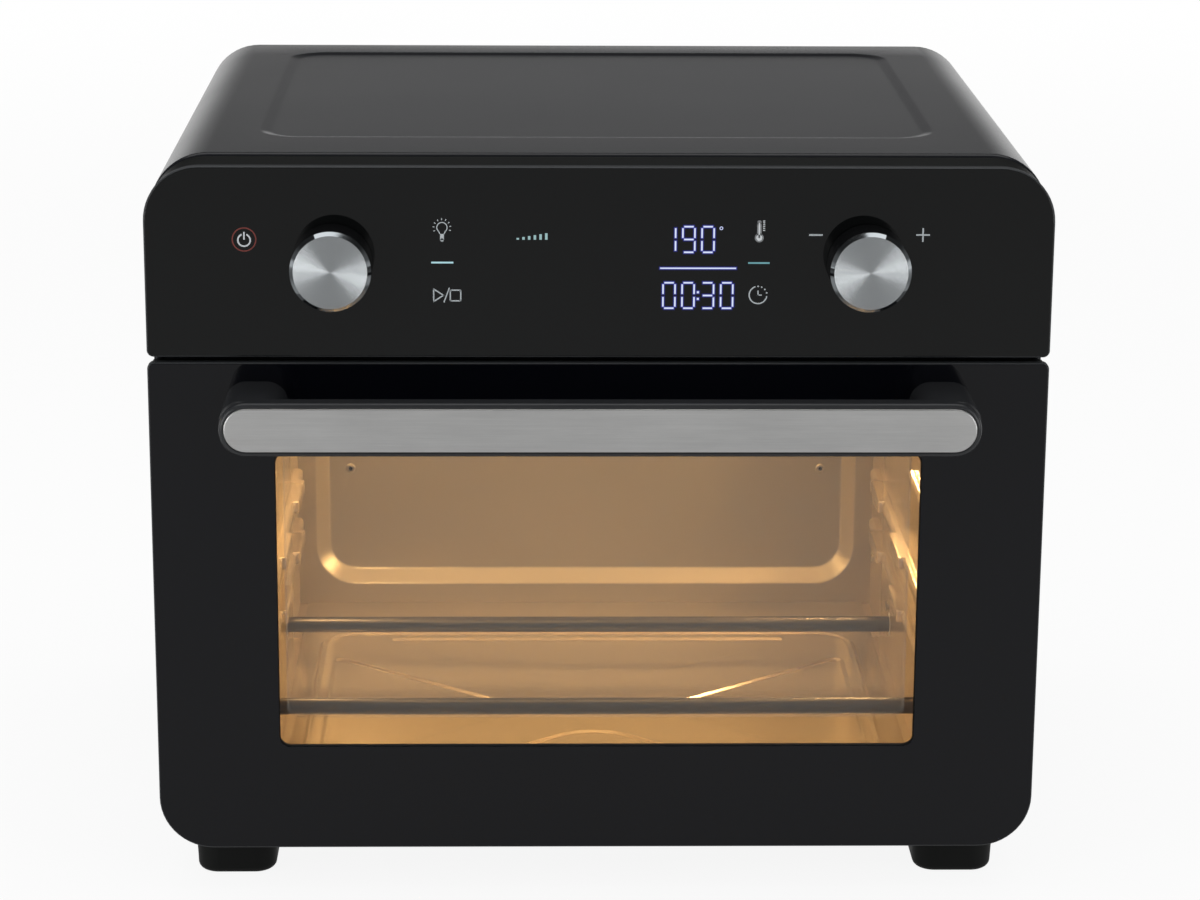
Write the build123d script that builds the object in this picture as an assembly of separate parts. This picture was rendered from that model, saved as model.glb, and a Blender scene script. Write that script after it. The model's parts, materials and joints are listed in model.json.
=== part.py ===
from build123d import *
import math
import os

# Portable oven: a drop-down glass door, a glass control panel with two knobs, a steel
# chamber with four heater tubes, a lamp, and a hot-air fan in its ceiling.
# Millimetres, +Z up, front towards -Y. Everything is set out from the front face of the
# glass at y = 0, and save() moves each piece so that the origin lies under the middle.

# Front glass
glass_width = 400.0
glass_thickness = 4.0
glass_chamfer = 0.6
door_height = 229.5
control_height = 85.5
front_gap = 2.5            # between the door and the control glass
large_radius = 24.5        # outer corners of the front
small_radius = 3.0         # corners beside the gap
print_thickness = 0.3      # black print behind the door glass

# Body
under_door = 20.0          # table to the bottom edge of the door
sheet = 0.8                # outer and chamber sheet metal
body_inset = 1.5           # cover side behind the edge of the glass
body_front = 14.0
body_back = 327.0
body_underside = 22.0
cover_rise = 3.3           # cover top above the control glass
cover_radius = 26.0
base_radius = 24.0
base_wall_top = 62.0       # top of the base plate's turned-up sides
cover_bottom = 47.0
frame_thickness = 1.0
frame_gap = 0.3            # front frame to the shell round it
cover_lip = 3.0            # shell turned in along its front edge

# Vents
side_vent_count = 9
side_vent_pitch = 9.0
side_vent_size = (3.0, 28.0)
side_vent_y = 255.0
side_vent_z = 290.0
back_vent_count = 17
back_vent_pitch = 12.0
back_vent_size = (4.0, 20.0)
back_vent_levels = [296.0, 268.0, 96.0, 68.0]
base_vent_count = 11
base_vent_pitch = 14.0
base_vent_size = (5.0, 70.0)
base_vent_y = 190.0

# Cord gland and wiring block
gland_from_side = 42.0
gland_height = 34.0
gland_length = 11.0
gland_proud = 5.0
gland_radius = 7.0
gland_flange_radius = 9.5
gland_lock_radius = 8.5
cord_radius = 3.6
terminal_size = (32.0, 18.0, 14.0)
terminal_from_back = 61.0

# Sunken panel of the cover's top
top_panel_from_side = 46.0       # to the edge of the glass, seen from the front
top_panel_front = 54.0
top_panel_back = 303.0
top_panel_depth = 1.0
top_panel_radius = 20.0
top_panel_taper = 76.0

# Chamber
chamber_from_side = 45.5         # room beside the chamber for lamp and wiring
cavity_bottom = 40.0
cavity_top = 262.0
cavity_back = 302.0
mouth_height = 202.0
mouth_radius = 4.0
back_panel_border = 9.3          # flat border beside the sunken panel
back_panel_low = 51.4
back_panel_high = 247.0
back_panel_depth = 8.0
back_panel_radius = 18.0
back_panel_taper = 38.0
rail_levels = [92.0, 119.0]       # rails along the whole depth
front_rail_level = 166.0          # short rail near the door
rail_height = 6.0
rail_depth = 4.6
rail_start = 31.0
rail_end = 271.0
front_rail_end = 100.0
pad_depth = 2.2                   # how far a rail's wide pads stand past it
pad_length = 42.0
pad_pitch = 97.0
first_pad = 229.0

# Crumb tray
tray_side_gap = 4.5               # to the chamber wall
tray_front = 18.5
tray_back = 298.0
tray_lift = 0.4                   # under the tray
tray_bead_inset = 11.0            # bead inside the tray's sides
tray_bead_back = 254.0
tray_bead_front = 24.0
tray_bead_radius = 18.0
tray_bead_width = 5.0
tray_bead_height = 1.6
field_height = 1.2
field_border = 3.0                # bead to the triangular fields
field_spacing = 42.0              # width of the bare diagonal arms
tray_grip_height = 7.0

# Heaters
heater_radius = 4.0
heater_low = 61.0
heater_high = 247.0
heater_front = 78.0
heater_back = 203.0
heater_overhang = 14.0            # past the chamber wall
insulator_radius = 6.0
insulator_flange_radius = 8.5

# Temperature probe in the right wall, cut-out on the ceiling
probe_radius = 2.0
probe_length = 22.0                # into the chamber
probe_from_back = 26.0
probe_drop = 18.0                 # below the upper heaters
cutout_x = 112.0
cutout_y = 255.0
cutout_radius = 8.0
cutout_height = 9.0

# Lamp in the right wall
lamp_y = 235.0
lamp_z = 205.0
lamp_radius = 22.0
lamp_depth = 34.0
socket_depth = 12.0
socket_radius = 8.0
bulb_radius = 6.0
bulb_foot_radius = 4.0

# Fan above the ceiling
fan_y = 159.0
fan_radius = 60.0
fan_height = 12.0
fan_lift = 4.0                    # ceiling to the fan's blades
chamber_radius = 75.0
chamber_height = 22.0
guard_radius = 84.0
guard_thickness = 1.6
shaft_radius = 3.0
motor_size = (60.0, 54.0, 18.0)
motor_gap = 12.0                  # chamber dome to the motor bracket
shaft_reach = 15.0                # shaft past the motor
cooling_fan_radius = 38.0
blade_count = 12
guard_rings = ((62.0, 20.0, 20), (40.0, 15.0, 16))   # radius, slot length, slot count
guard_slot_width = 5.0
running_clearance = 0.05

# Controls
knob_from_side = 82.5
knob_z = 294.6
knob_radius = 17.75
knob_face_radius = 16.1
knob_stand = 20.3                 # glass to the knob's face
cap_thickness = 1.7
knob_gap = 0.7
knob_wall = 2.0
glass_hole_radius = 4.5
bezel_inset = 0.6           # housing inside the outline of the control glass
bezel_rise = 2.5            # its rear edge above its front edge
bezel_narrowing = 1.4       # its rear edge inside its front edge, each side
bezel_wall = 1.6
bezel_tail_depth = 17.0           # part of the housing behind the front frame
bezel_tail_inset = 14.0
bezel_tail_low = 12.0             # tail above the control glass's lower edge
bezel_tail_high = 10.0            # tail below its upper edge
bezel_tail_gap = 0.5
board_y = 20.0
board_thickness = 1.6
encoder_size = 12.0
power_board_size = (82.0, 100.0)
power_board_from_side = 14.0
power_board_front = 40.0
power_board_lift = 12.0
display_width = 44.0
display_height = 46.0
display_x = 43.0
display_z = 292.0

# Door
door_inset = 1.2                  # door frame behind the edge of the glass
door_frame_depth = 8.0
window_from_side = 55.5
window_low = 68.1
window_high = 207.0
window_radius = 5.0
inset_clearance = 1.8             # door's inner tray to the mouth, each side
inset_low = 51.0
inset_high = 238.5
inset_depth = 27.6                # glass front to the tray's rear face
tray_radius = 5.0                 # corners of that tray
inner_ledge = 3.1
inner_glass_thickness = 4.0
retainer_depth = 2.0
flange_from_side = 10.0
flange_low = 30.0
flange_high = 245.0
seal_width = 6.0
seal_top_width = 2.0
seal_gap = 0.3
switch_from_mouth = 22.0
switch_pin_radius = 1.5

# Handle
handle_length = 331.6
handle_height = 24.0
handle_front = 40.0
handle_thickness = 8.5
handle_z = 229.0
handle_edge = 2.0
plate_length = 327.2
plate_height = 19.6
plate_thickness = 1.0
plate_proud = 0.3
post_width = 28.0
post_radius = 9.5
post_flare = 5.0              # hollow rounding from a post into the bar
screw_radius = 2.5
screw_spacing = 10.0
screw_from_end = 5.0
screw_head_radius = 4.2
screw_head_depth = 2.7
screw_pad = 5.5                 # half of the frame's pad round each screw

# Hinges
hinge_y = 8.4
hinge_z = 24.0
hinge_from_side = 30.0
pin_radius = 2.0
pin_length = 18.0
bracket_thickness = 2.5
eye_radius = 3.8
boss_width = 20.0
notch_width = 6.0
bracket_foot_thickness = 1.2

# Feet and fasteners
foot_size = 38.5
foot_taper = 3.0
foot_radius = 11.0
foot_edge = 3.5
foot_from_side = 32.8            # foot's middle to the edge of the glass
foot_front = 16.4
foot_rear = 281.0
foot_bore = 5.0
cover_screw_places = (40.0, 170.0, 300.0)
back_screw_levels = (66.0, 180.0, 296.0)
back_screw_top_from_side = 90.0
back_screw_inset = 11.0
head_radius = 3.2
head_height = 1.2
thread_radius = 1.6
hole_gap = 0.2
rivet_radius = 2.0

# Places worked out from the sizes above
door_low = under_door
door_high = door_low + door_height
control_low = door_high + front_gap
control_high = control_low + control_height
cover_top = control_high + cover_rise
body_width = glass_width - 2 * body_inset
knob_x = glass_width / 2 - knob_from_side
hinge_x = glass_width / 2 - hinge_from_side
foot_x = glass_width / 2 - foot_from_side
back_screw_top_x = glass_width / 2 - back_screw_top_from_side
window_width = glass_width - 2 * window_from_side
flange_width = glass_width - 2 * flange_from_side
top_panel_width = glass_width - 2 * top_panel_from_side
cavity_width = glass_width - 2 * chamber_from_side
back_panel_width = cavity_width - 2 * back_panel_border
tray_width = cavity_width - 2 * tray_side_gap
tray_bead_half_width = tray_width / 2 - tray_bead_inset
cavity_half = cavity_width / 2
mouth_high = cavity_bottom + mouth_height
frame_front = body_front + 1.0
frame_back = frame_front + frame_thickness
print_back = glass_thickness + print_thickness
door_frame_back = print_back + door_frame_depth
flange_back = door_frame_back + sheet
inset_half = cavity_half - inset_clearance
back_cover_front = body_back - sheet
wall_outer = cavity_half + sheet
dome_top = cavity_top + sheet + chamber_height
bracket_low = dome_top + motor_gap
fan_low = cavity_top + sheet + fan_lift
shaft_top = bracket_low + sheet + motor_size[2] + shaft_reach
gland_back = body_back + gland_proud
gland_x = -body_width / 2 + gland_from_side
gland_z = body_underside + gland_height
switch_x = -(cavity_half + switch_from_mouth)
switch_z = mouth_high - switch_from_mouth
probe_y = cavity_back - probe_from_back
probe_z = heater_high - probe_drop
rivet_z = heater_low + 7.5
rivet_places = (heater_back + 8.0, cavity_back - 8.0)
panel_screw_x = back_panel_width / 2 - 18.6
panel_screw_z = back_panel_low + 63.0
foot_centres = (foot_front + foot_size / 2, foot_rear + foot_size / 2)
handle_screw_places = [(side * (handle_length / 2 - screw_from_end), handle_z + offset)
                       for side in (-1, 1) for offset in (-screw_spacing / 2, screw_spacing / 2)]
back_screw_places = [(side * (body_width / 2 - back_screw_inset), z)
                     for side in (-1, 1) for z in back_screw_levels]
back_screw_places += [(side * back_screw_top_x, cover_top - back_screw_inset) for side in (-1, 1)]
frame_shift = (gland_back - handle_front - plate_proud) / 2

os.makedirs("parts", exist_ok=True)


def save(name, *solids):
    """Write one node, with the origin moved under the middle of the oven."""
    moved = [Pos(0, -frame_shift, 0) * solid for solid in solids]
    export_step(moved[0] if len(moved) == 1 else Compound(children=moved), f"parts/{name}.step")


def block(x, y, z):
    """Box from a low and a high value along each axis."""
    return Pos((x[0] + x[1]) / 2, (y[0] + y[1]) / 2, (z[0] + z[1]) / 2) * Box(
        x[1] - x[0], y[1] - y[0], z[1] - z[0])


def rod_x(radius, x, y, z):
    return Pos((x[0] + x[1]) / 2, y, z) * Rot(0, 90, 0) * Cylinder(radius, x[1] - x[0])


def rod_y(radius, x, y, z):
    return Pos(x, (y[0] + y[1]) / 2, z) * Rot(90, 0, 0) * Cylinder(radius, y[1] - y[0])


def rod_z(radius, x, y, z):
    return Pos(x, y, (z[0] + z[1]) / 2) * Cylinder(radius, z[1] - z[0])


def other_side(solid):
    return mirror(solid, Plane.YZ)


def outline(width, low, high, radius_low, radius_high):
    """Flat shape in X and Z with its own corner radii below and above."""
    face = Pos(0, (low + high) / 2) * Rectangle(width, high - low)
    if radius_high:
        face = fillet(face.vertices().group_by(Axis.Y)[-1], radius_high)
    if radius_low:
        face = fillet(face.vertices().group_by(Axis.Y)[0], radius_low)
    return face


def front_piece(face, y):
    """Face in X and Z made a solid between two depths."""
    plane = Plane(origin=(0, y[1], 0), x_dir=(1, 0, 0), z_dir=(0, -1, 0))
    return extrude(plane * face, y[1] - y[0])


def row_of(count, pitch, make):
    """A row of equal cutters, centred on zero."""
    cutters = [make((index - (count - 1) / 2) * pitch) for index in range(count)]
    return Part() + cutters


def outer_cover():
    inside = outline(body_width - 2 * sheet, 0, cover_top - sheet, 0, cover_radius - sheet)
    shell = front_piece(outline(body_width, cover_bottom, cover_top, 0, cover_radius),
                        (body_front, back_cover_front))
    shell -= front_piece(inside, (body_front - 1, body_back))
    lip = outline(body_width - 2 * sheet, cover_bottom, cover_top - sheet, 0, cover_radius - sheet)
    lip -= outline(body_width - 2 * (sheet + cover_lip), 0, cover_top - sheet - cover_lip,
                   0, cover_radius - sheet - cover_lip)
    shell += front_piece(lip, (body_front, body_front + sheet))
    length = top_panel_back - top_panel_front
    middle = (top_panel_front + top_panel_back) / 2

    def pan(offset, top, depth):
        face = RectangleRounded(top_panel_width + 2 * offset, length + 2 * offset,
                                top_panel_radius + offset)
        return extrude(Pos(0, middle, top) * face, -depth, taper=top_panel_taper)

    spread = sheet * math.tan(math.radians(top_panel_taper))
    shell += pan(spread, cover_top, top_panel_depth + sheet)
    shell -= pan(0, cover_top, top_panel_depth)
    width, height = side_vent_size
    vent = row_of(side_vent_count, side_vent_pitch, lambda y: Pos(0, y) * Box(
        2 * body_width, width, height))
    return shell - Pos(0, side_vent_y, side_vent_z) * vent


def base_plate():
    face = outline(body_width - 2 * sheet, body_underside, base_wall_top, base_radius, 0)
    inner = outline(body_width - 4 * sheet, body_underside + sheet, base_wall_top + 1,
                    base_radius - sheet, 0)
    pan = front_piece(face, (frame_back, back_cover_front)) - front_piece(
        inner, (frame_back - 1, body_back))
    width, length = base_vent_size
    vent = row_of(base_vent_count, base_vent_pitch, lambda x: Pos(x, 0) * Box(width, length, 10))
    pan -= Pos(0, base_vent_y, body_underside) * vent
    for x in (-foot_x, foot_x):
        for y in foot_centres:
            pan -= rod_z(thread_radius + hole_gap, x, y, (body_underside - 1, body_underside + 2))
    return pan


def back_cover():
    face = outline(body_width, body_underside, cover_top, base_radius, cover_radius)
    plate = front_piece(face, (back_cover_front, body_back))
    width, length = back_vent_size
    for level in back_vent_levels:
        plate -= row_of(back_vent_count, back_vent_pitch, lambda x: front_piece(
            Pos(x, level) * SlotOverall(length, width, rotation=90), (back_cover_front - 2, body_back + 2)))
    plate -= rod_y(gland_radius + 0.1, gland_x, (back_cover_front - 1, gland_back), gland_z)
    for x, z in back_screw_places:
        plate -= rod_y(thread_radius + hole_gap, x, (back_cover_front - 1, body_back + 1), z)
    return plate


def front_frame():
    low = body_underside + sheet + frame_gap
    face = outline(body_width - 4 * sheet - 2 * frame_gap, low, cover_top - sheet - frame_gap,
                   base_radius - 1.5 * sheet, cover_radius - sheet - frame_gap)
    face -= outline(cavity_width, cavity_bottom, mouth_high, mouth_radius, mouth_radius)
    tail = outline(glass_width - 2 * (bezel_tail_inset - bezel_tail_gap),
                   control_low + bezel_tail_low - bezel_tail_gap,
                   control_high - bezel_tail_high + bezel_tail_gap, 3, 3)
    plate = front_piece(face - tail, (frame_front, frame_back))
    plate -= rod_y(switch_pin_radius + 0.1, switch_x, (body_front, frame_back + 1), switch_z)
    return plate


def wall_rail(level, start, end):
    """Shelf rail welded to the right wall, with its wide pads."""
    body = block((cavity_half - rail_depth, cavity_half), (start, end), (level, level + rail_height))
    body = chamfer(body.edges().group_by(Axis.X)[0].filter_by(Axis.Y), 1.5)
    y = first_pad
    while y - pad_length / 2 > start:
        if y + pad_length / 2 < end:
            pad = block((cavity_half - rail_depth - pad_depth, cavity_half),
                        (y - pad_length / 2, y + pad_length / 2), (level, level + rail_height))
            body += fillet(pad.edges().group_by(Axis.X)[0].filter_by(Axis.Z), pad_depth)
        y -= pad_pitch
    return body


def side_wall(with_lamp):
    """Right-hand wall and its rails; the left one is its mirror image without the lamp's hole."""
    wall = block((cavity_half, wall_outer), (frame_back, cavity_back), (cavity_bottom, cavity_top))
    rails = [wall_rail(level, rail_start, rail_end) for level in rail_levels]
    rails.append(wall_rail(front_rail_level, rail_start, front_rail_end))
    for z in (heater_low, heater_high):
        for y in (heater_front, heater_back):
            wall -= rod_x(insulator_radius + 0.1, (cavity_half - 1, wall_outer + 1), y, z)
    if with_lamp:
        wall -= rod_x(lamp_radius, (cavity_half - 1, wall_outer + 1), lamp_y, lamp_z)
        wall -= rod_x(probe_radius + 0.1, (cavity_half - 1, wall_outer + 1), probe_y, probe_z)
    for y in rivet_places:
        wall -= rod_x(rivet_radius, (cavity_half - 1, wall_outer + 1), y, rivet_z)
    return [wall] + rails


def cavity_back_wall():
    plate = block((-wall_outer, wall_outer), (cavity_back, cavity_back + sheet),
                  (cavity_bottom, cavity_top))
    height = back_panel_high - back_panel_low
    middle = (back_panel_high + back_panel_low) / 2

    def pan(offset, depth):
        face = RectangleRounded(back_panel_width + 2 * offset, height + 2 * offset,
                                back_panel_radius + offset)
        plane = Plane(origin=(0, cavity_back, middle), x_dir=(1, 0, 0), z_dir=(0, -1, 0))
        return extrude(plane * face, -depth, taper=back_panel_taper)

    wall = plate + pan(sheet, back_panel_depth + sheet) - pan(0, back_panel_depth)
    for x in (-panel_screw_x, panel_screw_x):
        wall -= rod_y(thread_radius, x, (cavity_back, cavity_back + 20), panel_screw_z)
    return wall


def cavity_ceiling():
    plate = block((-wall_outer, wall_outer), (frame_back, cavity_back + sheet),
                  (cavity_top, cavity_top + sheet))
    return plate - rod_z(chamber_radius - sheet, 0, fan_y, (cavity_top - 1, cavity_top + 2))


def cavity_floor():
    return block((-wall_outer, wall_outer), (frame_back, cavity_back + sheet),
                 (cavity_bottom - sheet, cavity_bottom))


def cavity_screws():
    solids = []
    y = cavity_back + back_panel_depth
    for x in (-panel_screw_x, panel_screw_x):
        head = rod_y(head_radius - 0.6, x, (y - 1.4, y), panel_screw_z)
        head = fillet(head.edges().group_by(Axis.Y)[0], 0.8)
        head -= rod_y(0.9, x, (y - 2, y - 0.6), panel_screw_z)
        solids.append(head + rod_y(thread_radius - 0.05, x, (y - 0.1, y + 5), panel_screw_z))
    for side in (-1, 1):
        for y in rivet_places:
            inner, outer = side * (cavity_half - 1.0), side * (wall_outer + 1.4)
            rivet = rod_x(rivet_radius + 0.9, sorted((inner, side * cavity_half)), y, rivet_z)
            rivet += rod_x(rivet_radius - 0.05, sorted((inner, outer)), y, rivet_z)
            solids.append(rivet)
    return solids


def crumb_tray():
    """Pressed sheet with a raised bead all round and four triangular fields inside it."""
    low = cavity_bottom + tray_lift
    top = low + sheet
    half = tray_width / 2
    plate = block((-half, half), (tray_front, tray_back), (low, top))
    plate += block((-half, half), (tray_front, tray_front + sheet), (low, low + tray_grip_height))
    middle = (tray_bead_front + tray_bead_back) / 2
    length = tray_bead_back - tray_bead_front
    ring = RectangleRounded(2 * tray_bead_half_width, length, tray_bead_radius)
    ring -= RectangleRounded(2 * (tray_bead_half_width - tray_bead_width),
                             length - 2 * tray_bead_width, tray_bead_radius - tray_bead_width)
    plate += extrude(Pos(0, middle, top) * ring, tray_bead_height)
    reach_x = tray_bead_half_width - tray_bead_width - field_border
    reach_y = length / 2 - tray_bead_width - field_border
    slope = math.atan2(reach_y, reach_x)
    tip_x = field_spacing / 2 / math.sin(slope)
    tip_y = field_spacing / 2 / math.cos(slope)
    side_top = (reach_x - tip_x) * math.tan(slope)
    end_top = (reach_y - tip_y) / math.tan(slope)
    side_field = make_face(Polyline((tip_x, 0), (reach_x, side_top), (reach_x, -side_top), close=True))
    end_field = make_face(Polyline((0, tip_y), (end_top, reach_y), (-end_top, reach_y), close=True))
    for field in (side_field, end_field):
        rounded = fillet(field.vertices(), 8)
        pad = extrude(Pos(0, middle, top) * rounded, field_height)
        turned = extrude(Pos(0, middle, top) * Rot(0, 0, 180) * rounded, field_height)
        plate = plate + pad + turned
    return plate


def heater(y, z):
    half = wall_outer + heater_overhang
    tube = rod_x(heater_radius, (-half, half), y, z)
    return tube + rod_x(1.5, (-half - 7, half + 7), y, z)


def heater_insulators():
    solids = []
    for z in (heater_low, heater_high):
        for y in (heater_front, heater_back):
            bush = rod_x(insulator_radius, (cavity_half, wall_outer + 9), y, z)
            bush += rod_x(insulator_flange_radius, (wall_outer, wall_outer + 3), y, z)
            bush -= rod_x(heater_radius + 0.05, (cavity_half - 1, wall_outer + 10), y, z)
            solids += [bush, other_side(bush)]
    return solids


def lamp_housing():
    cup = rod_x(lamp_radius + 4, (wall_outer, wall_outer + lamp_depth), lamp_y, lamp_z)
    cup -= rod_x(lamp_radius + 3, (wall_outer - 1, wall_outer + lamp_depth - 1), lamp_y, lamp_z)
    cup += rod_x(socket_radius, (wall_outer + lamp_depth - socket_depth, wall_outer + lamp_depth),
                 lamp_y, lamp_z)
    return cup - rod_x(bulb_foot_radius + running_clearance, (wall_outer, wall_outer + lamp_depth - 4),
                       lamp_y, lamp_z)


def lamp_bulb():
    socket = wall_outer + lamp_depth - socket_depth
    foot = rod_x(bulb_foot_radius, (socket, wall_outer + lamp_depth - 4), lamp_y, lamp_z)
    glass = rod_x(bulb_radius, (wall_outer + 6, socket), lamp_y, lamp_z)
    return foot + fillet(glass.edges().group_by(Axis.X)[0], bulb_radius - 1)


def lamp_lens():
    lens = rod_x(lamp_radius - 0.1, (cavity_half - 2.5, wall_outer), lamp_y, lamp_z)
    lens = fillet(lens.edges().group_by(Axis.X)[0], 2.0)
    return lens + rod_x(lamp_radius + 2.9, (wall_outer, wall_outer + 1.5), lamp_y, lamp_z)


def fan_chamber():
    dome = rod_z(chamber_radius, 0, fan_y, (cavity_top + sheet, dome_top))
    dome = fillet(dome.edges().group_by(Axis.Z)[-1], 5)
    inner = rod_z(chamber_radius - sheet, 0, fan_y, (cavity_top, dome_top - sheet))
    dome -= fillet(inner.edges().group_by(Axis.Z)[-1], 5 - sheet)
    dome += rod_z(chamber_radius + 9, 0, fan_y, (cavity_top + sheet, cavity_top + 2 * sheet))
    dome -= rod_z(chamber_radius - sheet, 0, fan_y, (cavity_top, cavity_top + 3 * sheet))
    return dome - rod_z(shaft_radius + 2, 0, fan_y, (cavity_top, dome_top + 1))


def fan_guard():
    """Slotted disc with two rings of slots and a ring of holes at the middle."""
    disc = rod_z(guard_radius, 0, fan_y, (cavity_top - guard_thickness, cavity_top))
    for radius, length, count in guard_rings:
        for index in range(count):
            slot = extrude(Pos(radius, 0, -2) * SlotOverall(length, guard_slot_width), 4)
            disc -= Pos(0, fan_y, cavity_top) * Rot(0, 0, 360 * index / count) * slot
    for index in range(8):
        disc -= Pos(0, fan_y, cavity_top) * Rot(0, 0, 45 * index) * Pos(22, 0, 0) * Cylinder(3, 6)
    return disc


def bladed_disc(radius, low, high, hub_radius, blades, length):
    """Fan: a disc and hub on the shaft, with upright blades on the disc."""
    fan = rod_z(radius, 0, fan_y, (high - 1, high)) + rod_z(hub_radius, 0, fan_y, (low, high))
    for index in range(blades):
        blade = Pos(radius - length / 2, 0, (low + high) / 2) * Rot(0, 0, 25) * Box(length, 1.2, high - low)
        fan += Pos(0, fan_y, 0) * Rot(0, 0, 360 * index / blades) * blade
    fan &= rod_z(radius, 0, fan_y, (low, high))
    return fan - rod_z(shaft_radius, 0, fan_y, (low - 1, high + 1))


def motor_shaft():
    return rod_z(shaft_radius, 0, fan_y, (fan_low, shaft_top))


def hot_air_fan():
    return bladed_disc(fan_radius, fan_low, fan_low + fan_height, 9, blade_count, 22)


def cooling_fan():
    return bladed_disc(cooling_fan_radius, shaft_top - 10, shaft_top - 1, 7, blade_count, 20)


def motor_bracket():
    reach = chamber_radius + 14
    bridge = block((-reach, reach), (fan_y - 14, fan_y + 14), (bracket_low, bracket_low + sheet))
    for side in (-1, 1):
        leg = sorted((side * reach, side * (reach - 1.5)))
        foot = sorted((side * reach, side * (reach + 12)))
        bridge += block(leg, (fan_y - 14, fan_y + 14), (cavity_top + sheet, bracket_low + sheet))
        bridge += block(foot, (fan_y - 14, fan_y + 14), (cavity_top + sheet, cavity_top + 2 * sheet))
    return bridge - rod_z(shaft_radius + 1, 0, fan_y, (bracket_low - 1, bracket_low + 3))


def fan_motor():
    width, depth, height = motor_size
    low = bracket_low + sheet
    core = block((-width / 2, width / 2), (fan_y - depth / 2, fan_y + depth / 2), (low, low + height))
    core += block((-16, 16), (fan_y + depth / 2, fan_y + depth / 2 + 12), (low + 1, low + height - 1))
    core += rod_z(9, 0, fan_y, (low + height, low + height + 3))
    return core - rod_z(shaft_radius + running_clearance, 0, fan_y, (low - 1, low + height + 4))


def temperature_probe():
    rod = rod_x(probe_radius, (cavity_half - probe_length, wall_outer + 10), probe_y, probe_z)
    rod = fillet(rod.edges().group_by(Axis.X)[0], probe_radius - 0.1)
    return rod + rod_x(probe_radius + 3, (wall_outer, wall_outer + 2), probe_y, probe_z)


def thermal_cutout():
    low = cavity_top + sheet
    body = rod_z(cutout_radius, cutout_x, cutout_y, (low, low + cutout_height))
    return body + block((cutout_x - 12, cutout_x + 12), (cutout_y - 5, cutout_y + 5), (low, low + 1))


def control_glass():
    plate = front_piece(outline(glass_width, control_low, control_high, small_radius, large_radius),
                        (0, glass_thickness))
    for x in (-knob_x, knob_x):
        plate -= rod_y(glass_hole_radius, x, (-1, glass_thickness + 1), knob_z)
    return chamfer(plate.faces().sort_by(Axis.Y)[0].outer_wire().edges(), glass_chamfer)


def control_housing():
    """Black bezel behind the glass, with a deeper tail through the front frame."""
    def shape(inset, radius_low, radius_high):
        return outline(glass_width - 2 * inset, control_low + inset, control_high - inset,
                       radius_low, radius_high)

    rear = outline(glass_width - 2 * (bezel_inset + bezel_narrowing), control_low + bezel_inset,
                   control_high - bezel_inset + bezel_rise, 1.5, large_radius)
    behind_glass = Plane(origin=(0, glass_thickness, 0), x_dir=(1, 0, 0), z_dir=(0, -1, 0))
    at_cover = Plane(origin=(0, body_front, 0), x_dir=(1, 0, 0), z_dir=(0, -1, 0))
    wide = loft([behind_glass * shape(bezel_inset, 1.5, large_radius - bezel_inset), at_cover * rear],
                ruled=True)
    hollow = bezel_inset + bezel_narrowing + bezel_wall
    wide -= front_piece(shape(hollow, 0.8, large_radius - hollow),
                        (glass_thickness + bezel_wall, body_front - 1.2))
    width = glass_width - 2 * bezel_tail_inset
    tail_back = frame_front + bezel_tail_depth
    low, high = control_low + bezel_tail_low, control_high - bezel_tail_high
    outer = outline(width, low, high, 3, 3)
    inner = outline(width - 2 * bezel_wall, low + bezel_wall, high - bezel_wall, 1.4, 1.4)
    housing = wide - front_piece(inner, (glass_thickness + bezel_wall, body_front + 1))
    housing += front_piece(outer - inner, (body_front, tail_back))
    for x in (-knob_x, knob_x):
        housing -= rod_y(glass_hole_radius, x, (0, glass_thickness + bezel_wall + 1), knob_z)
        for side in (-1, 1):
            housing += rod_y(3, x + side * 14, (glass_thickness + bezel_wall, board_y), knob_z)
    window = Pos(display_x, display_z) * Rectangle(display_width + 1, display_height + 1)
    return housing - front_piece(window, (0, glass_thickness + bezel_wall + 1))


def control_board():
    half = glass_width / 2 - bezel_tail_inset - bezel_wall - 0.4
    low = control_low + bezel_tail_low + bezel_wall + 0.4
    high = control_high - bezel_tail_high - bezel_wall - 0.4
    board = block((-half, half), (board_y, board_y + board_thickness), (low, high))
    back = board_y + board_thickness
    board += block((-30, 10), (back, back + 4), (knob_z - 20, knob_z + 10))
    return board + block((70, 96), (back, back + 7), (knob_z - 14, knob_z + 6))


def display_module():
    return block((display_x - display_width / 2, display_x + display_width / 2),
                 (glass_thickness + 0.1, board_y),
                 (display_z - display_height / 2, display_z + display_height / 2))


def encoder(x):
    """Rotary encoder on the board, with a bushing round the knob's shaft."""
    half = encoder_size / 2
    body = block((x - half, x + half), (board_y - 6.5, board_y), (knob_z - half, knob_z + half))
    body += rod_y(shaft_radius + 1.1, x, (glass_thickness + 0.5, board_y - 6.5), knob_z)
    return body - rod_y(shaft_radius + running_clearance, x, (0, board_y - 1), knob_z)


def knob_body(x):
    rear = -knob_stand + cap_thickness
    cup = rod_y(knob_radius, x, (rear, -knob_gap), knob_z)
    cup -= rod_y(knob_radius - knob_wall, x, (rear + knob_wall, 1), knob_z)
    cup += rod_y(6, x, (rear, -knob_gap - 0.6), knob_z)
    return cup + rod_y(shaft_radius, x, (rear, board_y - 2), knob_z)


def knob_cap(x):
    bevel = knob_radius - knob_face_radius
    cap = rod_y(knob_radius, x, (-knob_stand, -knob_stand + cap_thickness), knob_z)
    return chamfer(cap.edges().group_by(Axis.Y)[0], bevel, cap_thickness - 0.1)


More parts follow.
